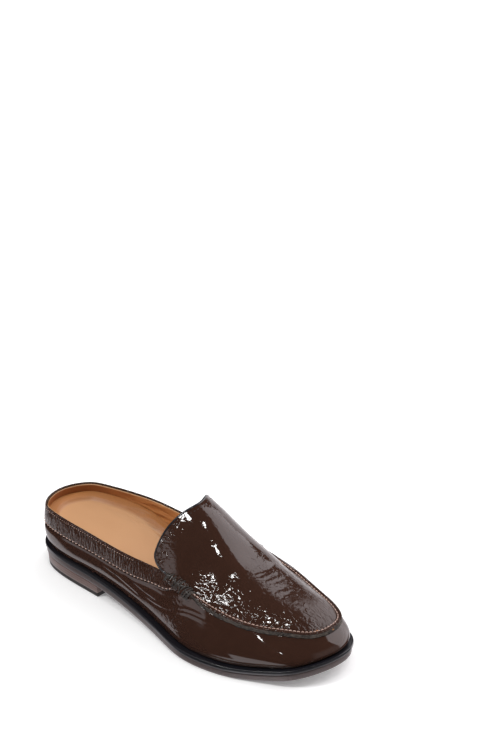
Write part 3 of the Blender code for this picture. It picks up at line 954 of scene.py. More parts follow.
# %% Folds, groove and puckers
PUCKER_PITCH = 0.0031
PUCKER = 0.00045
APRON_CREASES = (  # along X and across, on the ball of the foot
    (1.2, 0.26, (61, -14), (64, -6), (66.5, 3), (67.5, 11), (66, 21)),
    (1.0, 0.22, (65, -11), (67.5, -4), (69.5, 4), (70, 12)),
    (1.1, 0.18, (70, -14), (72, -5), (73.5, 5), (73, 16)),
    (0.9, 0.14, (75, -8), (77, 2), (78, 11), (76, 20)),
    (1.0, 0.12, (81, -10), (83, 0), (84, 10)),
    (1.2, 0.12, (88, -6), (89, 3), (89, 12)),
    (1.3, 0.16, (56, -22), (58, -15), (60, -9)),
)
BREAK_LINE = ((-30, 57), (-14, 61), (-6, 64), (3, 66.5), (11, 67.5), (21, 66), (30, 64))  # Y, X
BREAK_BEFORE = 0.010
BREAK_BEYOND = 0.028
BREAK_DEPTH = 0.0015
BREAK_ROUND = 0.0006
RIDGE_ALONG = 0.052
RIDGE_LENGTH = 0.013
RIDGE_MIDDLE = -0.003
RIDGE_WIDTH = 0.009
RIDGE_RISE = 0.00050
TROUGH_DEPTH = 0.00045
TROUGH_WIDTH = 0.0008
PUCKER_REACH = 0.0045
seam_run = np.concatenate([[0], np.cumsum(np.linalg.norm(np.diff(TOP[LEFT], axis=0), axis=1))])
gather = smooth(seam_run, 0.0, 0.002) * (1 - smooth(seam_run, 0.024, 0.030))
pucker = np.cos(2 * np.pi * seam_run / PUCKER_PITCH) * gather
trough = np.exp(-((edge_gap - STITCH_INSET) / TROUGH_WIDTH) ** 2) * lip_x
line_y, line_x = np.array(BREAK_LINE).T / 1000
past_break = apron[..., 0] - np.interp(apron[..., 1], line_y, line_x)
break_reach = np.where(past_break < 0, BREAK_BEFORE, BREAK_BEYOND)
from_break = np.sqrt(past_break ** 2 + BREAK_ROUND ** 2) - BREAK_ROUND
bend = BREAK_DEPTH * np.exp(-from_break / break_reach)
stand = creases(apron[..., :2], APRON_CREASES) - TROUGH_DEPTH * trough
stand -= bend * smooth(edge_gap, 0.004, 0.012)
aside = (apron[..., 1] - RIDGE_MIDDLE) / RIDGE_WIDTH
ridge = -RIDGE_RISE * aside * np.exp(0.5 - aside ** 2 / 2)
ridge *= np.exp(-((apron[..., 0] - RIDGE_ALONG) / RIDGE_LENGTH) ** 2)
ridge *= 1 - smooth(past_break, -0.003, 0.003)
stand += ridge
stand += PUCKER * pucker[:, None] * np.exp(-(edge_gap / PUCKER_REACH) ** 2)
apron = apron + apron_normal * stand[..., None]
print("apron stands", round(1000 * stand.min(), 2), "to", round(1000 * stand.max(), 2), "mm")

# %% [markdown]
# ## Apron leather and its lining
# The shaped surface becomes a sheet with a thickness. Marks on its points tell the finish where
# the leather is crinkled: along the outer edge, at the throat and past the fold over the ball of
# the foot.


# %% Apron leather and its lining
def shell(outer, inner):
    """Points and faces of a sheet with a thickness, from its outer and inner grids."""
    rows, columns = outer.shape[:2]
    count = rows * columns
    top = grid_faces(rows, columns, False, False)
    faces = top + [tuple(count + v for v in face[::-1]) for face in top]
    edge = [(0, c) for c in range(columns)] + [(r, columns - 1) for r in range(1, rows)]
    edge += [(rows - 1, c) for c in range(columns - 2, -1, -1)]
    edge += [(r, 0) for r in range(rows - 2, 0, -1)]
    edge = [r * columns + c for r, c in edge]
    for one, two in zip(edge, edge[1:] + edge[:1]):
        faces.append((two, one, one + count, two + count))
    return np.concatenate([outer.reshape(-1, 3), inner.reshape(-1, 3)]), faces


APRON_THICK = 0.0009
SPARK_REACH = 0.016
THROAT_SPARK = -0.011  # along from the throat's corner
THROAT_SPARK_WIDTH = 0.006
FOLD_MIDDLE = 0.004
FOLD_WIDTH = 0.010
CALM_SPOT = (0.046, 0.010)
CALM_SIZE = (0.018, 0.012)
forward = apron[..., 0] - CORNER_X
sparkle = np.exp(-(from_left / SPARK_REACH) ** 2) * smooth(forward, 0.010, 0.030)
sparkle *= 1 - 0.5 * smooth(forward, 0.075, 0.105)
throat_spark = np.exp(-((forward - THROAT_SPARK) / THROAT_SPARK_WIDTH) ** 2)
throat_spark *= smooth(-apron[..., 1], 0.010, 0.019)
tip = smooth(apron[..., 0], 0.086, 0.106) * smooth(apron[..., 1], -0.004, 0.010)
fold = np.exp(-((past_break - FOLD_MIDDLE) / FOLD_WIDTH) ** 2)
calm = np.exp(-(((apron[..., :2] - CALM_SPOT) / CALM_SIZE) ** 2).sum(axis=2))
crinkle = 0.06 + 0.14 * smooth(apron[..., 1], -0.006, 0.006) - 0.12 * calm
crinkle += 0.84 * sparkle + 0.9 * throat_spark + 0.14 * fold + 0.3 * tip
crinkle = np.clip(crinkle, 0, 1)
pebble = 0.10 + 0.12 * fold
haze = 0.35 * smooth(past_break, 0.000, 0.008) * smooth(apron[..., 1], -0.016, -0.002)
haze += 0.9 * tip
inner = apron - apron_normal * APRON_THICK
marks = {"crinkle": crinkle, "pebble": pebble, "haze": haze}
make_piece("apron", *shell(apron, inner), PATENT, "patent_leather", (),
           {mark: np.concatenate([values.ravel()] * 2) for mark, values in marks.items()})
every = np.flatnonzero(np.abs(SIDE) < 0.90)[::3]
thin, thin_normal = apron[::2, every], apron_normal[::2, every]
under, deep = thin - thin_normal * 0.0010, thin - thin_normal * 0.0018
make_piece("apron_lining", *shell(under, deep), LINING, "lining_leather", (), {
    "cut_edge": np.zeros(2 * under.shape[0] * under.shape[1])})

# %% [markdown]
# ## The raw edge round the apron
# Under the lip, the cut edges of two leathers lie on each other, grey-green and unpolished. They
# are one strip that runs from the stitches of one corner, round the toe, to the other corner. The
# strip's lowest rows are painted near black: a painted shadow line under the cut edges.


# %% Raw edge
def sweep(path, across, up, profile):
    """A closed profile, in millimetres across and up, carried along a path."""
    rows = [path + across * (a / 1000) + up * (b / 1000) for a, b in profile]
    return np.stack(rows)


RAW_PROFILE = (  # across and up; the first five make a near-black strip under the cut edges, a painted shadow line
    (-2.2, -0.80), (0.02, -0.85), (0.12, -0.66), (0.12, -0.10), (0.06, 0.10),
    (0.16, 0.22), (0.24, 0.50), (0.24, 1.42), (0.10, 1.52), (0.24, 1.62), (0.24, 2.30),
    (0.16, 2.52), (-0.10, 2.56), (-2.2, 2.56),
)
SHADOW_LINE_ROWS = 5
first = REAR_STEPS + int(np.searchsorted(seam_run, 0.021))
lip_ring = np.arange(first, RING - first + 1)
vertical = np.array([0.0, 0.0, 1.0])
seam_across = np.column_stack([seam_out, np.zeros(RING)])
ripple = 0.00012 * np.sin(np.arange(RING) * 0.9) + 0.00010 * np.sin(np.arange(RING) * 0.37)
seam_path = TOP + seam_across * ripple[:, None]
profile = sweep(seam_path[lip_ring], seam_across[lip_ring], vertical, RAW_PROFILE)
in_shadow_line = np.broadcast_to((np.arange(len(RAW_PROFILE)) < SHADOW_LINE_ROWS)[:, None], profile.shape[:2])
# The marked rows carry the painted shadow line under the cut edges.
make_piece("apron_raw_edge", *strip(profile), RAW_EDGE, "raw_edge", (), {"join": in_shadow_line})

# %% [markdown]
# ## Binding of the throat
# The opening's front edge is bound with a narrow black strip that wraps over both leathers. It
# follows the throat from corner to corner.

# %% Throat binding
BINDING_PROFILE = (
    (-1.1, 0.02), (-0.9, 0.22), (-0.1, 0.26), (0.32, 0.08), (0.52, -0.40), (0.52, -1.50),
    (0.32, -1.95), (-0.1, -2.12), (-0.9, -2.08), (-1.1, -1.85),
)
edge = apron[0]
edge_along = np.gradient(edge, axis=0)
edge_along /= np.linalg.norm(edge_along, axis=1)[:, None]
edge_up = apron_normal[0]
edge_back = np.cross(edge_along, edge_up)
edge_back *= np.sign(-edge_back[APRON_COLUMNS // 2, 0])
profile = sweep(edge, edge_back, edge_up, BINDING_PROFILE)
make_piece("throat_binding", *strip(profile), WELT_LEATHER, "welt_leather")

# %% [markdown]
# ## Stitches along a path
# A row of stitches repeats one small shape along a seam, which is a job for Geometry Nodes. The
# tree resamples the path at the stitch pitch, stands a short arched thread on each point, turns
# it to the seam and the surface, and makes the instances real, because an export drops instances.
# The same tree makes the fine machine stitches and the thick hand stitches across the gathers.


# %% Stitch tree
def stitch_tree():
    tree = bpy.data.node_groups.new("stitches", "GeometryNodeTree")
    shape = tree.interface.new_socket
    shape("Path", in_out="INPUT", socket_type="NodeSocketGeometry")
    sizes = (("Pitch", 0.0026), ("Length", 0.0018), ("Thread", 0.0005), ("Arch", 0.0004),
             ("Turn", 0.0), ("Turn Spread", 0.05))
    for name, value in sizes:
        shape(name, in_out="INPUT", socket_type="NodeSocketFloat").default_value = value
    shape("Seed", in_out="INPUT", socket_type="NodeSocketInt")
    shape("Thread Finish", in_out="INPUT", socket_type="NodeSocketMaterial")
    shape("Stitches", in_out="OUTPUT", socket_type="NodeSocketGeometry")
    source = tree.nodes.new("NodeGroupInput")
    given = {socket.name: Wire(tree, socket) for socket in source.outputs if socket.name}

    def node(kind, settings=(), values=(), output=0):
        return add(tree, kind, settings, values, output)

    line = node("GeometryNodeMeshToCurve", (), {"Mesh": given["Path"]})
    line = node("GeometryNodeResampleCurve", {"mode": "LENGTH"},
                {"Curve": line, "Length": given["Pitch"]})
    half = given["Length"] * 0.5
    start = node("ShaderNodeCombineXYZ", (), {"X": half * -1.0, "Z": given["Thread"] * -0.6})
    top = node("ShaderNodeCombineXYZ", (), {"Z": given["Arch"] * 2.0})
    end = node("ShaderNodeCombineXYZ", (), {"X": half, "Z": given["Thread"] * -0.6})
    arc = node("GeometryNodeCurveQuadraticBezier", (),
               {"Resolution": 6, "Start": start, "Middle": top, "End": end})
    ring = node("GeometryNodeCurvePrimitiveCircle", (),
                {"Resolution": 6, "Radius": given["Thread"] * 0.5})
    thread = node("GeometryNodeCurveToMesh", (),
                  {"Curve": arc, "Profile Curve": ring, "Fill Caps": True})
    normal = node("GeometryNodeInputNamedAttribute", {"data_type": "FLOAT_VECTOR"},
                  {"Name": "surface_normal"})
    turned = node("FunctionNodeAxesToRotation", {"primary_axis": "Z", "secondary_axis": "X"},
                  {"Primary Axis": normal, "Secondary Axis": node("GeometryNodeInputTangent")})
    jitter = node("FunctionNodeRandomValue", {"data_type": "FLOAT"},
                  {2: given["Turn Spread"] * -1.0, 3: given["Turn Spread"], "Seed": given["Seed"]},
                  output=1)
    twist = node("ShaderNodeCombineXYZ", (), {"Z": given["Turn"] + jitter})
    twist = node("FunctionNodeEulerToRotation", (), {"Euler": twist})
    turned = node("FunctionNodeRotateRotation", {"rotation_space": "LOCAL"},
                  {"Rotation": turned, "Rotate By": twist})
    placed = node("GeometryNodeInstanceOnPoints", (),
                  {"Points": line, "Instance": thread, "Rotation": turned})
    real = node("GeometryNodeRealizeInstances", (), {"Geometry": placed})
    smooth_shaded = node("GeometryNodeSetShadeSmooth", (), {"Geometry": real})
    dyed = node("GeometryNodeSetMaterial", (),
                {"Geometry": smooth_shaded, "Material": given["Thread Finish"]})
    sink = tree.nodes.new("NodeGroupOutput")
    tree.links.new(dyed.socket, sink.inputs["Stitches"])
    return tree


STITCHES = stitch_tree()


def sew(name, path, normals, material, slot, **sizes):
    """A row of stitches on a path, as a plain mesh."""
    mesh = bpy.data.meshes.new(name + "_path")
    mesh.from_pydata(np.asarray(path).tolist(), [(i, i + 1) for i in range(len(path) - 1)], [])
    layer = mesh.attributes.new("surface_normal", "FLOAT_VECTOR", "POINT")
    layer.data.foreach_set("vector", np.asarray(normals, np.float32).ravel())
    guide = bpy.data.objects.new(name + "_path", mesh)
    bpy.context.scene.collection.objects.link(guide)
    rows = guide.modifiers.new("stitches", "NODES")
    rows.node_group = STITCHES
    sockets = {item.name: item.identifier for item in STITCHES.interface.items_tree
               if item.in_out == "INPUT"}
    rows[sockets["Thread Finish"]] = material
    for size, value in sizes.items():
        rows[sockets[size.replace("_", " ").title()]] = value
    shown = guide.evaluated_get(bpy.context.evaluated_depsgraph_get())
    sewn = bpy.data.meshes.new_from_object(shown)
    sewn.name = name
    bpy.data.objects.remove(guide)
    for extra in [a.name for a in sewn.attributes if a.name == "surface_normal"]:
        sewn.attributes.remove(sewn.attributes[extra])
    row = bpy.data.objects.new(name, sewn)
    bpy.context.scene.collection.objects.link(row)
    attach(row, "root")
    print(name, "has", len(sewn.polygons), "faces")
    return row


print("nodes in the stitch tree:", len(STITCHES.nodes))

# %% [markdown]
# ## Sewing the shoe
# Four rows of machine stitches hold it together: round the apron's lip, along both edges of the
# collar band, and along the throat. Each path is read from the surface that it lies on, so the
# thread follows every bend.

# %% Machine stitches
TIP_ROWS = 6
SEAM_ROW = 52  # the fine level near the seam
RIM_ROW = 62  # the fine level near the rim


def apron_path(gap, first_row):
    """A path on the apron at a gap from the seam: up the outer side, round the toe and back."""
    both = np.concatenate([apron, apron_normal], axis=2)
    sides = []
    for turn in (1, -1):
        run = from_left if turn == 1 else from_right
        side = []
        for row in range(first_row, len(apron) - TIP_ROWS):
            way, values = run[row][::turn], both[row][::turn]
            if way[-1] > 2.2 * gap:
                side.append([np.interp(gap, way, values[:, k]) for k in range(6)])
        sides.append(side[::turn])
    path = np.array(sides[0] + sides[1])
    return path[:, :3], path[:, 3:]


start_row = int(np.searchsorted(seam_run, 0.023))
path, ups = apron_path(STITCH_INSET, start_row)
sew("apron_stitches", path + ups * 0.0001, ups, THREAD, "thread",
    pitch=0.0027, length=0.0019, thread=0.00062, arch=0.00035, seed=3)

seam_stitch = wall_at((SEAM_LEVEL + 0.0013 / WALL_HEIGHT)[None], 0.0)[0]
rim_stitch = wall_at((1 - 0.0016 / WALL_HEIGHT)[None], 0.0)[0]
wall_normal = grid_normals(wall_grid(FINE_LEVELS), closed=True)
long = band[6:-6]
sew("collar_seam_stitches", seam_stitch[long], wall_normal[SEAM_ROW][long], THREAD, "thread",
    pitch=0.0036, length=0.0012, thread=0.00066, arch=0.00045, seed=5)
short = band[40:-40]
sew("collar_rim_stitches", rim_stitch[short], wall_normal[RIM_ROW][short], THREAD, "thread",
    pitch=0.0024, length=0.0013, thread=0.00036, arch=0.00016, seed=7)
INNER_ROW = 3
sew("throat_stitches", apron[INNER_ROW][4:-4], apron_normal[INNER_ROW][4:-4],
    WAXED_THREAD, "thread",
    pitch=0.0028, length=0.0013, thread=0.00040, arch=0.0002, seed=9)

# %% [markdown]
# ## Hand stitches at the corners of the throat
# At each corner, a thick waxed thread is whipped over the join of apron, band and vamp, and draws
# the leather into a lumpy ridge. The ridge is a tube whose radius swells between the stitches, and
# two rows of thread cross over it.

# %% Gathers and whip stitches
GATHER_LENGTH = 0.0275
GATHER_HALF = 0.0040
GATHER_HIGH = 0.0024


def gather_ridge(name, ring_index, normals, flip):
    """A puckered ridge along one side's seam, and the thread over it."""
    path = TOP[ring_index] + normals * 0.0002
    run = np.concatenate([[0], np.cumsum(np.linalg.norm(np.diff(path, axis=0), axis=1))])
    at = np.arange(-0.001, GATHER_LENGTH, 0.00035)
    path = np.stack([np.interp(at, run, path[:, k]) for k in range(3)], axis=1)
    path += (at.clip(None, 0))[:, None] * np.array([1.0, 0.0, 0.0])
    up = np.stack([np.interp(at, run, normals[:, k]) for k in range(3)], axis=1)
    along = np.gradient(path, axis=0)
    along /= np.linalg.norm(along, axis=1)[:, None]
    across = np.cross(up, along) * flip
    ends = smooth(at, -0.001, 0.003) * (1 - smooth(at, GATHER_LENGTH - 0.009, GATHER_LENGTH))
    lumps = 1 + 0.24 * np.cos(2 * np.pi * at / PUCKER_PITCH) + 0.14 * np.sin(at * 1500)
    size = np.maximum(ends, 0.08) * lumps
    rows = []
    for turn in np.linspace(0, 2 * np.pi, 20, endpoint=False):
        side = math.cos(turn) * GATHER_HALF * size * (1 + 0.10 * np.sin(at * 2300 + 3 * turn))
        high = math.sin(turn) * GATHER_HIGH * size
        rows.append(path + across * side[:, None] + up * high[:, None])
    profile = np.stack(rows)
    make_piece(name, *strip(profile), PATENT, "patent_leather", (), {
        "crinkle": np.full(profile.shape[:2], 1.0), "crackle": np.full(profile.shape[:2], 0.5)})
    inside = (at > 0.0006) & (at < GATHER_LENGTH - 0.003)
    crest = path + up * (GATHER_HIGH * 0.55 * size)[:, None]
    sew(name + "_thread", crest[inside], up[inside], WAXED_THREAD, "thread",
        pitch=PUCKER_PITCH * 0.75, length=0.0086, thread=0.0013, arch=0.0012, turn=1.2 * flip,
        turn_spread=0.75, seed=11)
    sew(name + "_back_thread", crest[inside], up[inside], WAXED_THREAD, "thread",
        pitch=PUCKER_PITCH * 0.95, length=0.0070, thread=0.0011, arch=0.0015, turn=2.2 * flip,
        turn_spread=1.0, seed=12)


side_normal = wall_normal[-1] + 1.1 * vertical
side_normal /= np.linalg.norm(side_normal, axis=1)[:, None]
gather_ridge("outer_gather", LEFT, side_normal[LEFT], 1)
gather_ridge("inner_gather", RIGHT, side_normal[RIGHT], -1)

# %% [markdown]
# ## Footbed
# The footbed is foam under smooth tan leather. Its edge lies against the lining, a border slopes
# down from it, and the flat inside cups the heel. The height of any point follows from one
# number, its distance from the edge. A few long wrinkles lie along the arch side.

# %% Footbed surface
FOOTBED_COLUMNS = 96
FOOTBED_CREASES = (
    (1.3, 0.70, (-72, 19), (-54, 20.5), (-34, 19.5), (-12, 19)),
    (1.1, 0.60, (-60, 24), (-44, 24), (-26, 22.5), (-8, 22)),
    (1.2, 0.50, (-40, 16.5), (-22, 15.5), (-4, 15.5)),
    (1.0, 0.50, (-50, 27), (-36, 26.2), (-20, 25)),
    (1.0, 0.40, (-30, 12.5), (-16, 11.5), (-2, 12)),
)


def against_lining(rise):
    """Ring that touches the lining's inner face at a height over the welt."""
    fine = wall_at(FINE_LEVELS, -(PATENT_THICK + LINING_THICK + 0.0002))
    over = fine[..., 2] - welt_top(fine[..., 0]) - rise(fine[..., 0] / LENGTH + 0.5)
    ring = np.empty((RING, 3))
    for i in range(RING):
        ring[i] = [np.interp(0.0, over[:, i], fine[:, i, k]) for k in range(3)]
    return ring


def footbed_edge(along):
    return FOOTBED_RISE * table_value(FOOTBED, 1, along)


def footbed_slope(gap):
    """The border's fall from the edge: slow at first, then a soft step down to the seat."""
    slow = smooth(gap, 0.0, 0.9 * CUP_BORDER)
    return 0.45 * slow + 0.55 * smooth(gap, 0.62 * CUP_BORDER, CUP_BORDER)


edge_ring = against_lining(footbed_edge)
low_ring = against_lining(lambda along: 0.5 * footbed_edge(along))
foot_level = against_lining(lambda along: 0.0008 + 0 * along)
index = np.arange(1, HALF)
across = np.linspace(0.0, 1.0, FOOTBED_COLUMNS + 1)[:, None]
grid = edge_ring[index][:, None] * (1 - across) + edge_ring[RING - index][:, None] * across
gap = np.array([np.linalg.norm(row[:, None, :2] - edge_ring[None, :, :2], axis=2).min(axis=1)
                for row in grid])
along = grid[..., 0] / LENGTH + 0.5
dip = CUP_DEPTH * table_value(FOOTBED, 2, along) * footbed_slope(gap)
grid[..., 2] = welt_top(grid[..., 0]) + footbed_edge(along) - dip
grid[..., 2] += creases(grid[..., :2], FOOTBED_CREASES) - 0.0003 * np.exp(-(gap / 0.0006) ** 2)
print("footbed rows and columns:", grid.shape[:2])

# %% [markdown]
# ## The footbed as a closed piece
# The surface's rows end before the heel and the toe, so one point closes each end. A wall goes
# down round the rim, and strips straight across close the underside.

# %% Footbed piece
points, count = [grid.reshape(-1, 3), edge_ring[[0, HALF]]], grid.shape[0] * grid.shape[1]
columns = FOOTBED_COLUMNS + 1
faces = grid_faces(len(index), columns, False, False)
heel_point, toe_point = count, count + 1
faces += [(heel_point, j + 1, j) for j in range(FOOTBED_COLUMNS)]
last = (len(index) - 1) * columns
faces += [(last + j, last + j + 1, toe_point) for j in range(FOOTBED_COLUMNS)]
rim = [heel_point] + [i * columns for i in range(len(index))] + [toe_point]
rim += [i * columns + FOOTBED_COLUMNS for i in range(len(index) - 1, -1, -1)]
lower = count + 2
points += [low_ring, foot_level]
for i in range(RING):
    j = (i + 1) % RING
    faces.append((rim[i], lower + i, lower + j, rim[j]))
    faces.append((lower + i, lower + RING + i, lower + RING + j, lower + j))
for i in range(HALF):
    strip_corners = (i, i + 1, (RING - i - 1) % RING, (RING - i) % RING)
    faces.append(tuple(lower + RING + v for v in dict.fromkeys(strip_corners))[::-1])
points = np.concatenate(points)
border = np.zeros(len(points))
border[:count] = (1 - smooth(gap, 0.72 * CUP_BORDER, 1.02 * CUP_BORDER)).ravel()
border[count:] = 1.0
insole = make_piece("footbed", points, faces, FOOTBED_LEATHER, "footbed_leather", ["insole"],
                    {"border": border})

# %% [markdown]
# ## Welt, outsole and heel
# The bottom is cut leather. Welt and outsole are rings at the shared stations, so they stay flush.
# The welt has a fine bead along its outer edge and a groove beside it.

# %% Welt
WELT_PROFILE = (  # inset and height in millimetres
    (0.55, 0.00), (0.12, 0.14), (0.00, 0.45), (0.00, 1.30), (0.05, 2.00), (0.10, 2.42),
    (0.24, 2.68), (0.46, 2.78), (0.70, 2.70), (0.86, 2.48), (1.02, 2.40), (1.30, 2.50),
    (2.00, 2.58), (3.00, 2.60), (5.50, 2.60), (9.90, 2.60), (9.90, 0.00),
)


def ring_at(inset, height):
    """The outline drawn in by an inset, at a height that is a function of x."""
    plan = inset_ring(inset)
    return np.column_stack([plan, height(plan[:, 0])])


def above_sole(rise):
    return lambda x: sole_bottom(x) + OUTSOLE_THICK + GAP * 0.4 + rise


profile = np.stack([ring_at(a / 1000, above_sole(b / 1000 + GAP * 0.6)) for a, b in WELT_PROFILE])
make_piece("welt_strip", *round_shoe(profile), WELT_LEATHER, "welt_leather", ["welt"])

# %% [markdown]
# ## Outsole
# The outsole's edge is trimmed and slightly rounded. Strips straight across close its two faces.


# %% Outsole
def capped(rings, half):
    """Points and faces of a stack of rings, closed by strips straight across."""
    size = len(rings[0])
    count = len(rings)
    faces = grid_faces(count, size, False, True)
    for start, up in ((0, False), ((count - 1) * size, True)):
        for i in range(half):
            corners = [start + v for v in dict.fromkeys((i, i + 1, (size - i - 1) % size,
                                                         (size - i) % size))]
            faces.append(tuple(corners if up else corners[::-1]))
    return np.concatenate(rings), faces


SOLE_PROFILE = (  # inset in millimetres, share of the thickness
    (1.9, 0.00), (1.30, 0.03), (1.08, 0.12), (0.96, 0.30), (0.88, 0.50), (0.82, 0.70),
    (0.80, 0.86), (0.92, 0.96), (1.15, 1.00),
)
rings = [ring_at(inset / 1000, lambda x, share=share: sole_bottom(x) + share * OUTSOLE_THICK)
         for inset, share in SOLE_PROFILE]
make_piece("sole", *capped(rings, HALF), SOLE_LEATHER, "sole_leather", ["outsole"])

# %% [markdown]
# ## Heel
# The heel is a stack of lifts on a rubber top piece. Two fine grooves in its profile show where the
# lifts meet.

# %% Heel
HEEL_STEPS = 90
BREAST_STEPS = 24


def heel_outline(inset):
    """The sole's rear, cut off by a straight breast."""
    curve = SOLE_CURVE - outward(SOLE_CURVE) * inset
    low = curve[:, 0].min()
    breast = HEEL_LENGTH - LENGTH / 2 - 0.2 * inset
    x = low + (1 - np.cos(np.linspace(0, np.pi / 2, HEEL_STEPS + 1))) * (breast - low)
    there, back = cut(curve, x)
    front = np.linspace(there[-1], back[-1], BREAST_STEPS + 1)[1:-1]
    return np.vstack([there, front, back[:0:-1]])


def heel_rings(profile, bottom, top):
    """Rings of a heel block: insets in millimetres, and shares of its height."""
    rings = []
    for inset, share in profile:
        plan = heel_outline(inset / 1000)
        low, high = bottom(plan[:, 0]), top(plan[:, 0])
        rings.append(np.column_stack([plan, low + share * (high - low)]))
    return rings


def block(rings):
    """A stack of rings closed by a flat face below and above."""
    size = len(rings[0])
    faces = grid_faces(len(rings), size, False, True)
    faces.append(tuple(range(size))[::-1])
    faces.append(tuple((len(rings) - 1) * size + i for i in range(size)))
    return np.concatenate(rings), faces


STACK_PROFILE = (
    (2.30, 0.00), (1.98, 0.02), (1.90, 0.32), (1.93, 0.340), (1.87, 0.36), (1.70, 0.66),
    (1.73, 0.680), (1.66, 0.70), (1.42, 0.97), (1.70, 1.00),
)
TREAD_PROFILE = ((2.7, 0.00), (2.35, 0.05), (2.22, 0.20), (2.10, 0.85), (2.35, 1.00))
lift = heel_rings(STACK_PROFILE, lambda x: TOP_PIECE_THICK + 0.1 * GAP + 0 * x,
                  lambda x: sole_bottom(x) - 0.1 * GAP)
make_piece("heel_lifts", *block(lift), HEEL_LEATHER, "heel_leather", ["heel_stack"])
tread = heel_rings(TREAD_PROFILE, lambda x: 0 * x, lambda x: TOP_PIECE_THICK + 0 * x)
make_piece("heel_tread", *block(tread), HEEL_RUBBER, "heel_rubber", ["heel_top_piece"])

# %% [markdown]
# ## Studio
# Patent leather shows its room, so the room is planned by what it mirrors: a large panel on the
# arch side gives the broad pale shape on the apron, low fields stand for the pale floor, and the
# space above is left dark. The plan is written into the world as soft-edged fields of azimuth and
# elevation, and what the camera sees directly is plain white.


# %% The room as fields of light
def room():
    """World light: soft-edged fields of azimuth and elevation, in degrees, and white behind."""
    world = bpy.data.worlds.new("studio")
    world.use_nodes = True
    tree = world.node_tree
    spot = tree.nodes["Background"]
    facing = add(tree, "ShaderNodeTexCoord", output="Generated")
    parts = {axis: add(tree, "ShaderNodeSeparateXYZ", (), {0: facing}, output=axis)
             for axis in "XYZ"}
    azimuth = parts["Y"].math("ARCTAN2", parts["Y"], parts["X"]) * math.degrees(1.0)
    elevation = parts["Z"].math("ARCSINE", parts["Z"]) * math.degrees(1.0)
    total = DARK
    for left, right, low, high, climb, soft, strength in FIELDS:
        inside = azimuth.ease(left - soft, left + soft) * elevation.ease(low - soft, low + soft)
        inside = inside * (1 - azimuth.ease(right - soft, right + soft))
        above = elevation - (azimuth - left) * climb
        total = inside * (1 - above.ease(high - soft, high + soft)) * strength + total
    seen = add(tree, "ShaderNodeLightPath", output="Is Camera Ray")
    total = total * (1 - seen) + seen
    tree.links.new(total.socket, spot.inputs["Strength"])
    spot.inputs["Color"].default_value = (1.0, 0.96, 0.99, 1.0)
    return world


DARK = 0.03
FIELDS = (  # azimuth from and to, elevation from and to, climb of the top, softness, strength
    (38, 97, 18, 54, 0.20, 1.2, 2.4),
    (38, 88, -8, 18, 0.00, 4.0, 2.3),
    (88, 128, -36, 18, 0.0, 3.0, 1.2),
    (-18, 38, -12, 40, 0.0, 6.0, 0.3),
    (-97, -64, -80, -31, 0.0, 1.5, 1.7),
    (-142, -97, -85, -46, 0.0, 1.5, 1.6),
    (-158, -142, -85, -44, 0.0, 3.0, 1.0),
    (-181, -158, -85, -24, 0.0, 3.0, 1.0),
    (140, 181, -85, -24, 0.0, 3.0, 1.0),
    (-64, 140, -85, -36, 0.0, 3.0, 0.9),
    (-144, -118, -4, 12, 0.60, 2.0, 1.1),
)
bpy.context.scene.world = room()
print("fields of light:", len(FIELDS))

# %% [markdown]
# ## Lamps and floor
# Small strong lamps give the sparks on the crinkled edge and the one bright mark on the vamp. A
# wide soft lamp, which the leather doesn't mirror, lights the plain pale floor and gives the soft
# shadow under the shoe.


# %% Lamps and floor
def lamp(name, azimuth, elevation, width, strength, mirrored=True):
    """A distant round lamp of a width in degrees."""
    azimuth, elevation = math.radians(azimuth), math.radians(elevation)
    way = Vector((math.cos(azimuth) * math.cos(elevation), math.sin(azimuth) * math.cos(elevation),
                  math.sin(elevation)))
    light = bpy.data.lights.new(name, "SUN")
    light.angle = math.radians(width)
    light.energy = strength
    made = bpy.data.objects.new(name, light)
    made.rotation_euler = way.to_track_quat("Z", "Y").to_euler()
    made.visible_glossy = mirrored
    bpy.context.scene.collection.objects.link(made)


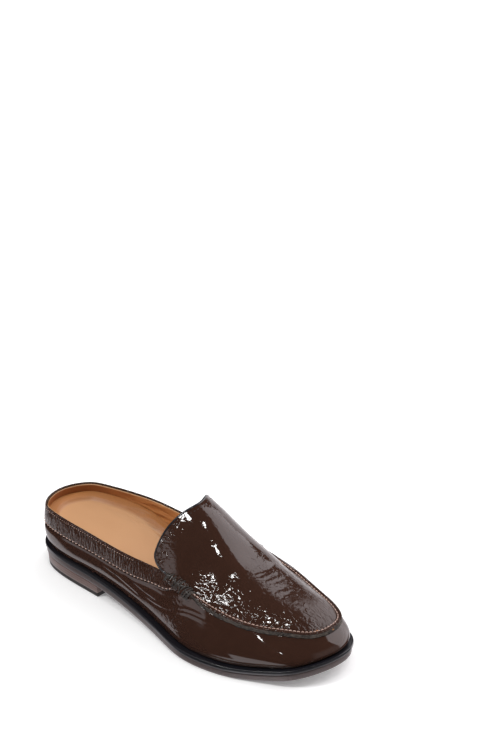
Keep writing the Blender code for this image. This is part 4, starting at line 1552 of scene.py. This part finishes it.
lamp("overhead", 60, 80, 110, 2.0, mirrored=False)
lamp("side_key", -117, 52, 9.0, 0.75)
lamp("middle_key", -106, 60, 6.0, 0.40)
lamp("front_key", -33, 71, 5.0, 0.27)
lamp("front_spark", -64, 28, 1.6, 0.035)

FLOOR = 9.0
FLOOR_DROP = -0.0002
floor_mesh = bpy.data.meshes.new("floor")
corners = [(-FLOOR, -FLOOR, 0), (FLOOR, -FLOOR, 0), (FLOOR, FLOOR, 0), (-FLOOR, FLOOR, 0)]
floor_mesh.from_pydata(corners, [], [(0, 1, 2, 3)])
floor = bpy.data.objects.new("floor", floor_mesh)
floor.location.z = FLOOR_DROP
floor.visible_glossy = False
bpy.context.scene.collection.objects.link(floor)
FLOOR_PAINT = finish("pale_floor", {
    "Base Color": (0.94, 0.94, 0.94, 1.0), "Roughness": 0.9, "Specular IOR Level": 0.1,
    "Emission Color": (1.0, 1.0, 1.0, 1.0), "Emission Strength": 0.18}, lambda tree, place: {})
floor_mesh.materials.append(FLOOR_PAINT)
bpy.context.scene.view_settings.view_transform = "Standard"
print("lamps:", len(bpy.data.lights))

# %% [markdown]
# ## Camera
# The photograph was taken from above the outer side of the toe. The lens and the place were found
# by matching outlines in it, so the camera is written down as angles, a lens and a place.

# %% Camera
CAMERA_AZIMUTH = math.radians(42.0)
CAMERA_PITCH = math.radians(23.4)
CAMERA_PLACE = (0.67056, -0.68925, 0.59960)
LENS = 78.2

back = Vector((math.sin(CAMERA_AZIMUTH) * math.cos(CAMERA_PITCH),
               -math.cos(CAMERA_AZIMUTH) * math.cos(CAMERA_PITCH), math.sin(CAMERA_PITCH)))
right = Vector((math.cos(CAMERA_AZIMUTH), math.sin(CAMERA_AZIMUTH), 0.0))
lens = bpy.data.cameras.new("camera")
lens.lens = LENS
lens.sensor_width = 36.0
camera = bpy.data.objects.new("camera", lens)
turn = Matrix((right, back.cross(right), back)).transposed().to_4x4()
camera.matrix_world = Matrix.Translation(CAMERA_PLACE) @ turn
bpy.context.scene.collection.objects.link(camera)
bpy.context.scene.camera = camera
print("camera lens, mm:", LENS)

# %% [markdown]
# ## The end
# The finished shoe has to fill the same box as the imported model.

# %% The end
print("scene ready")
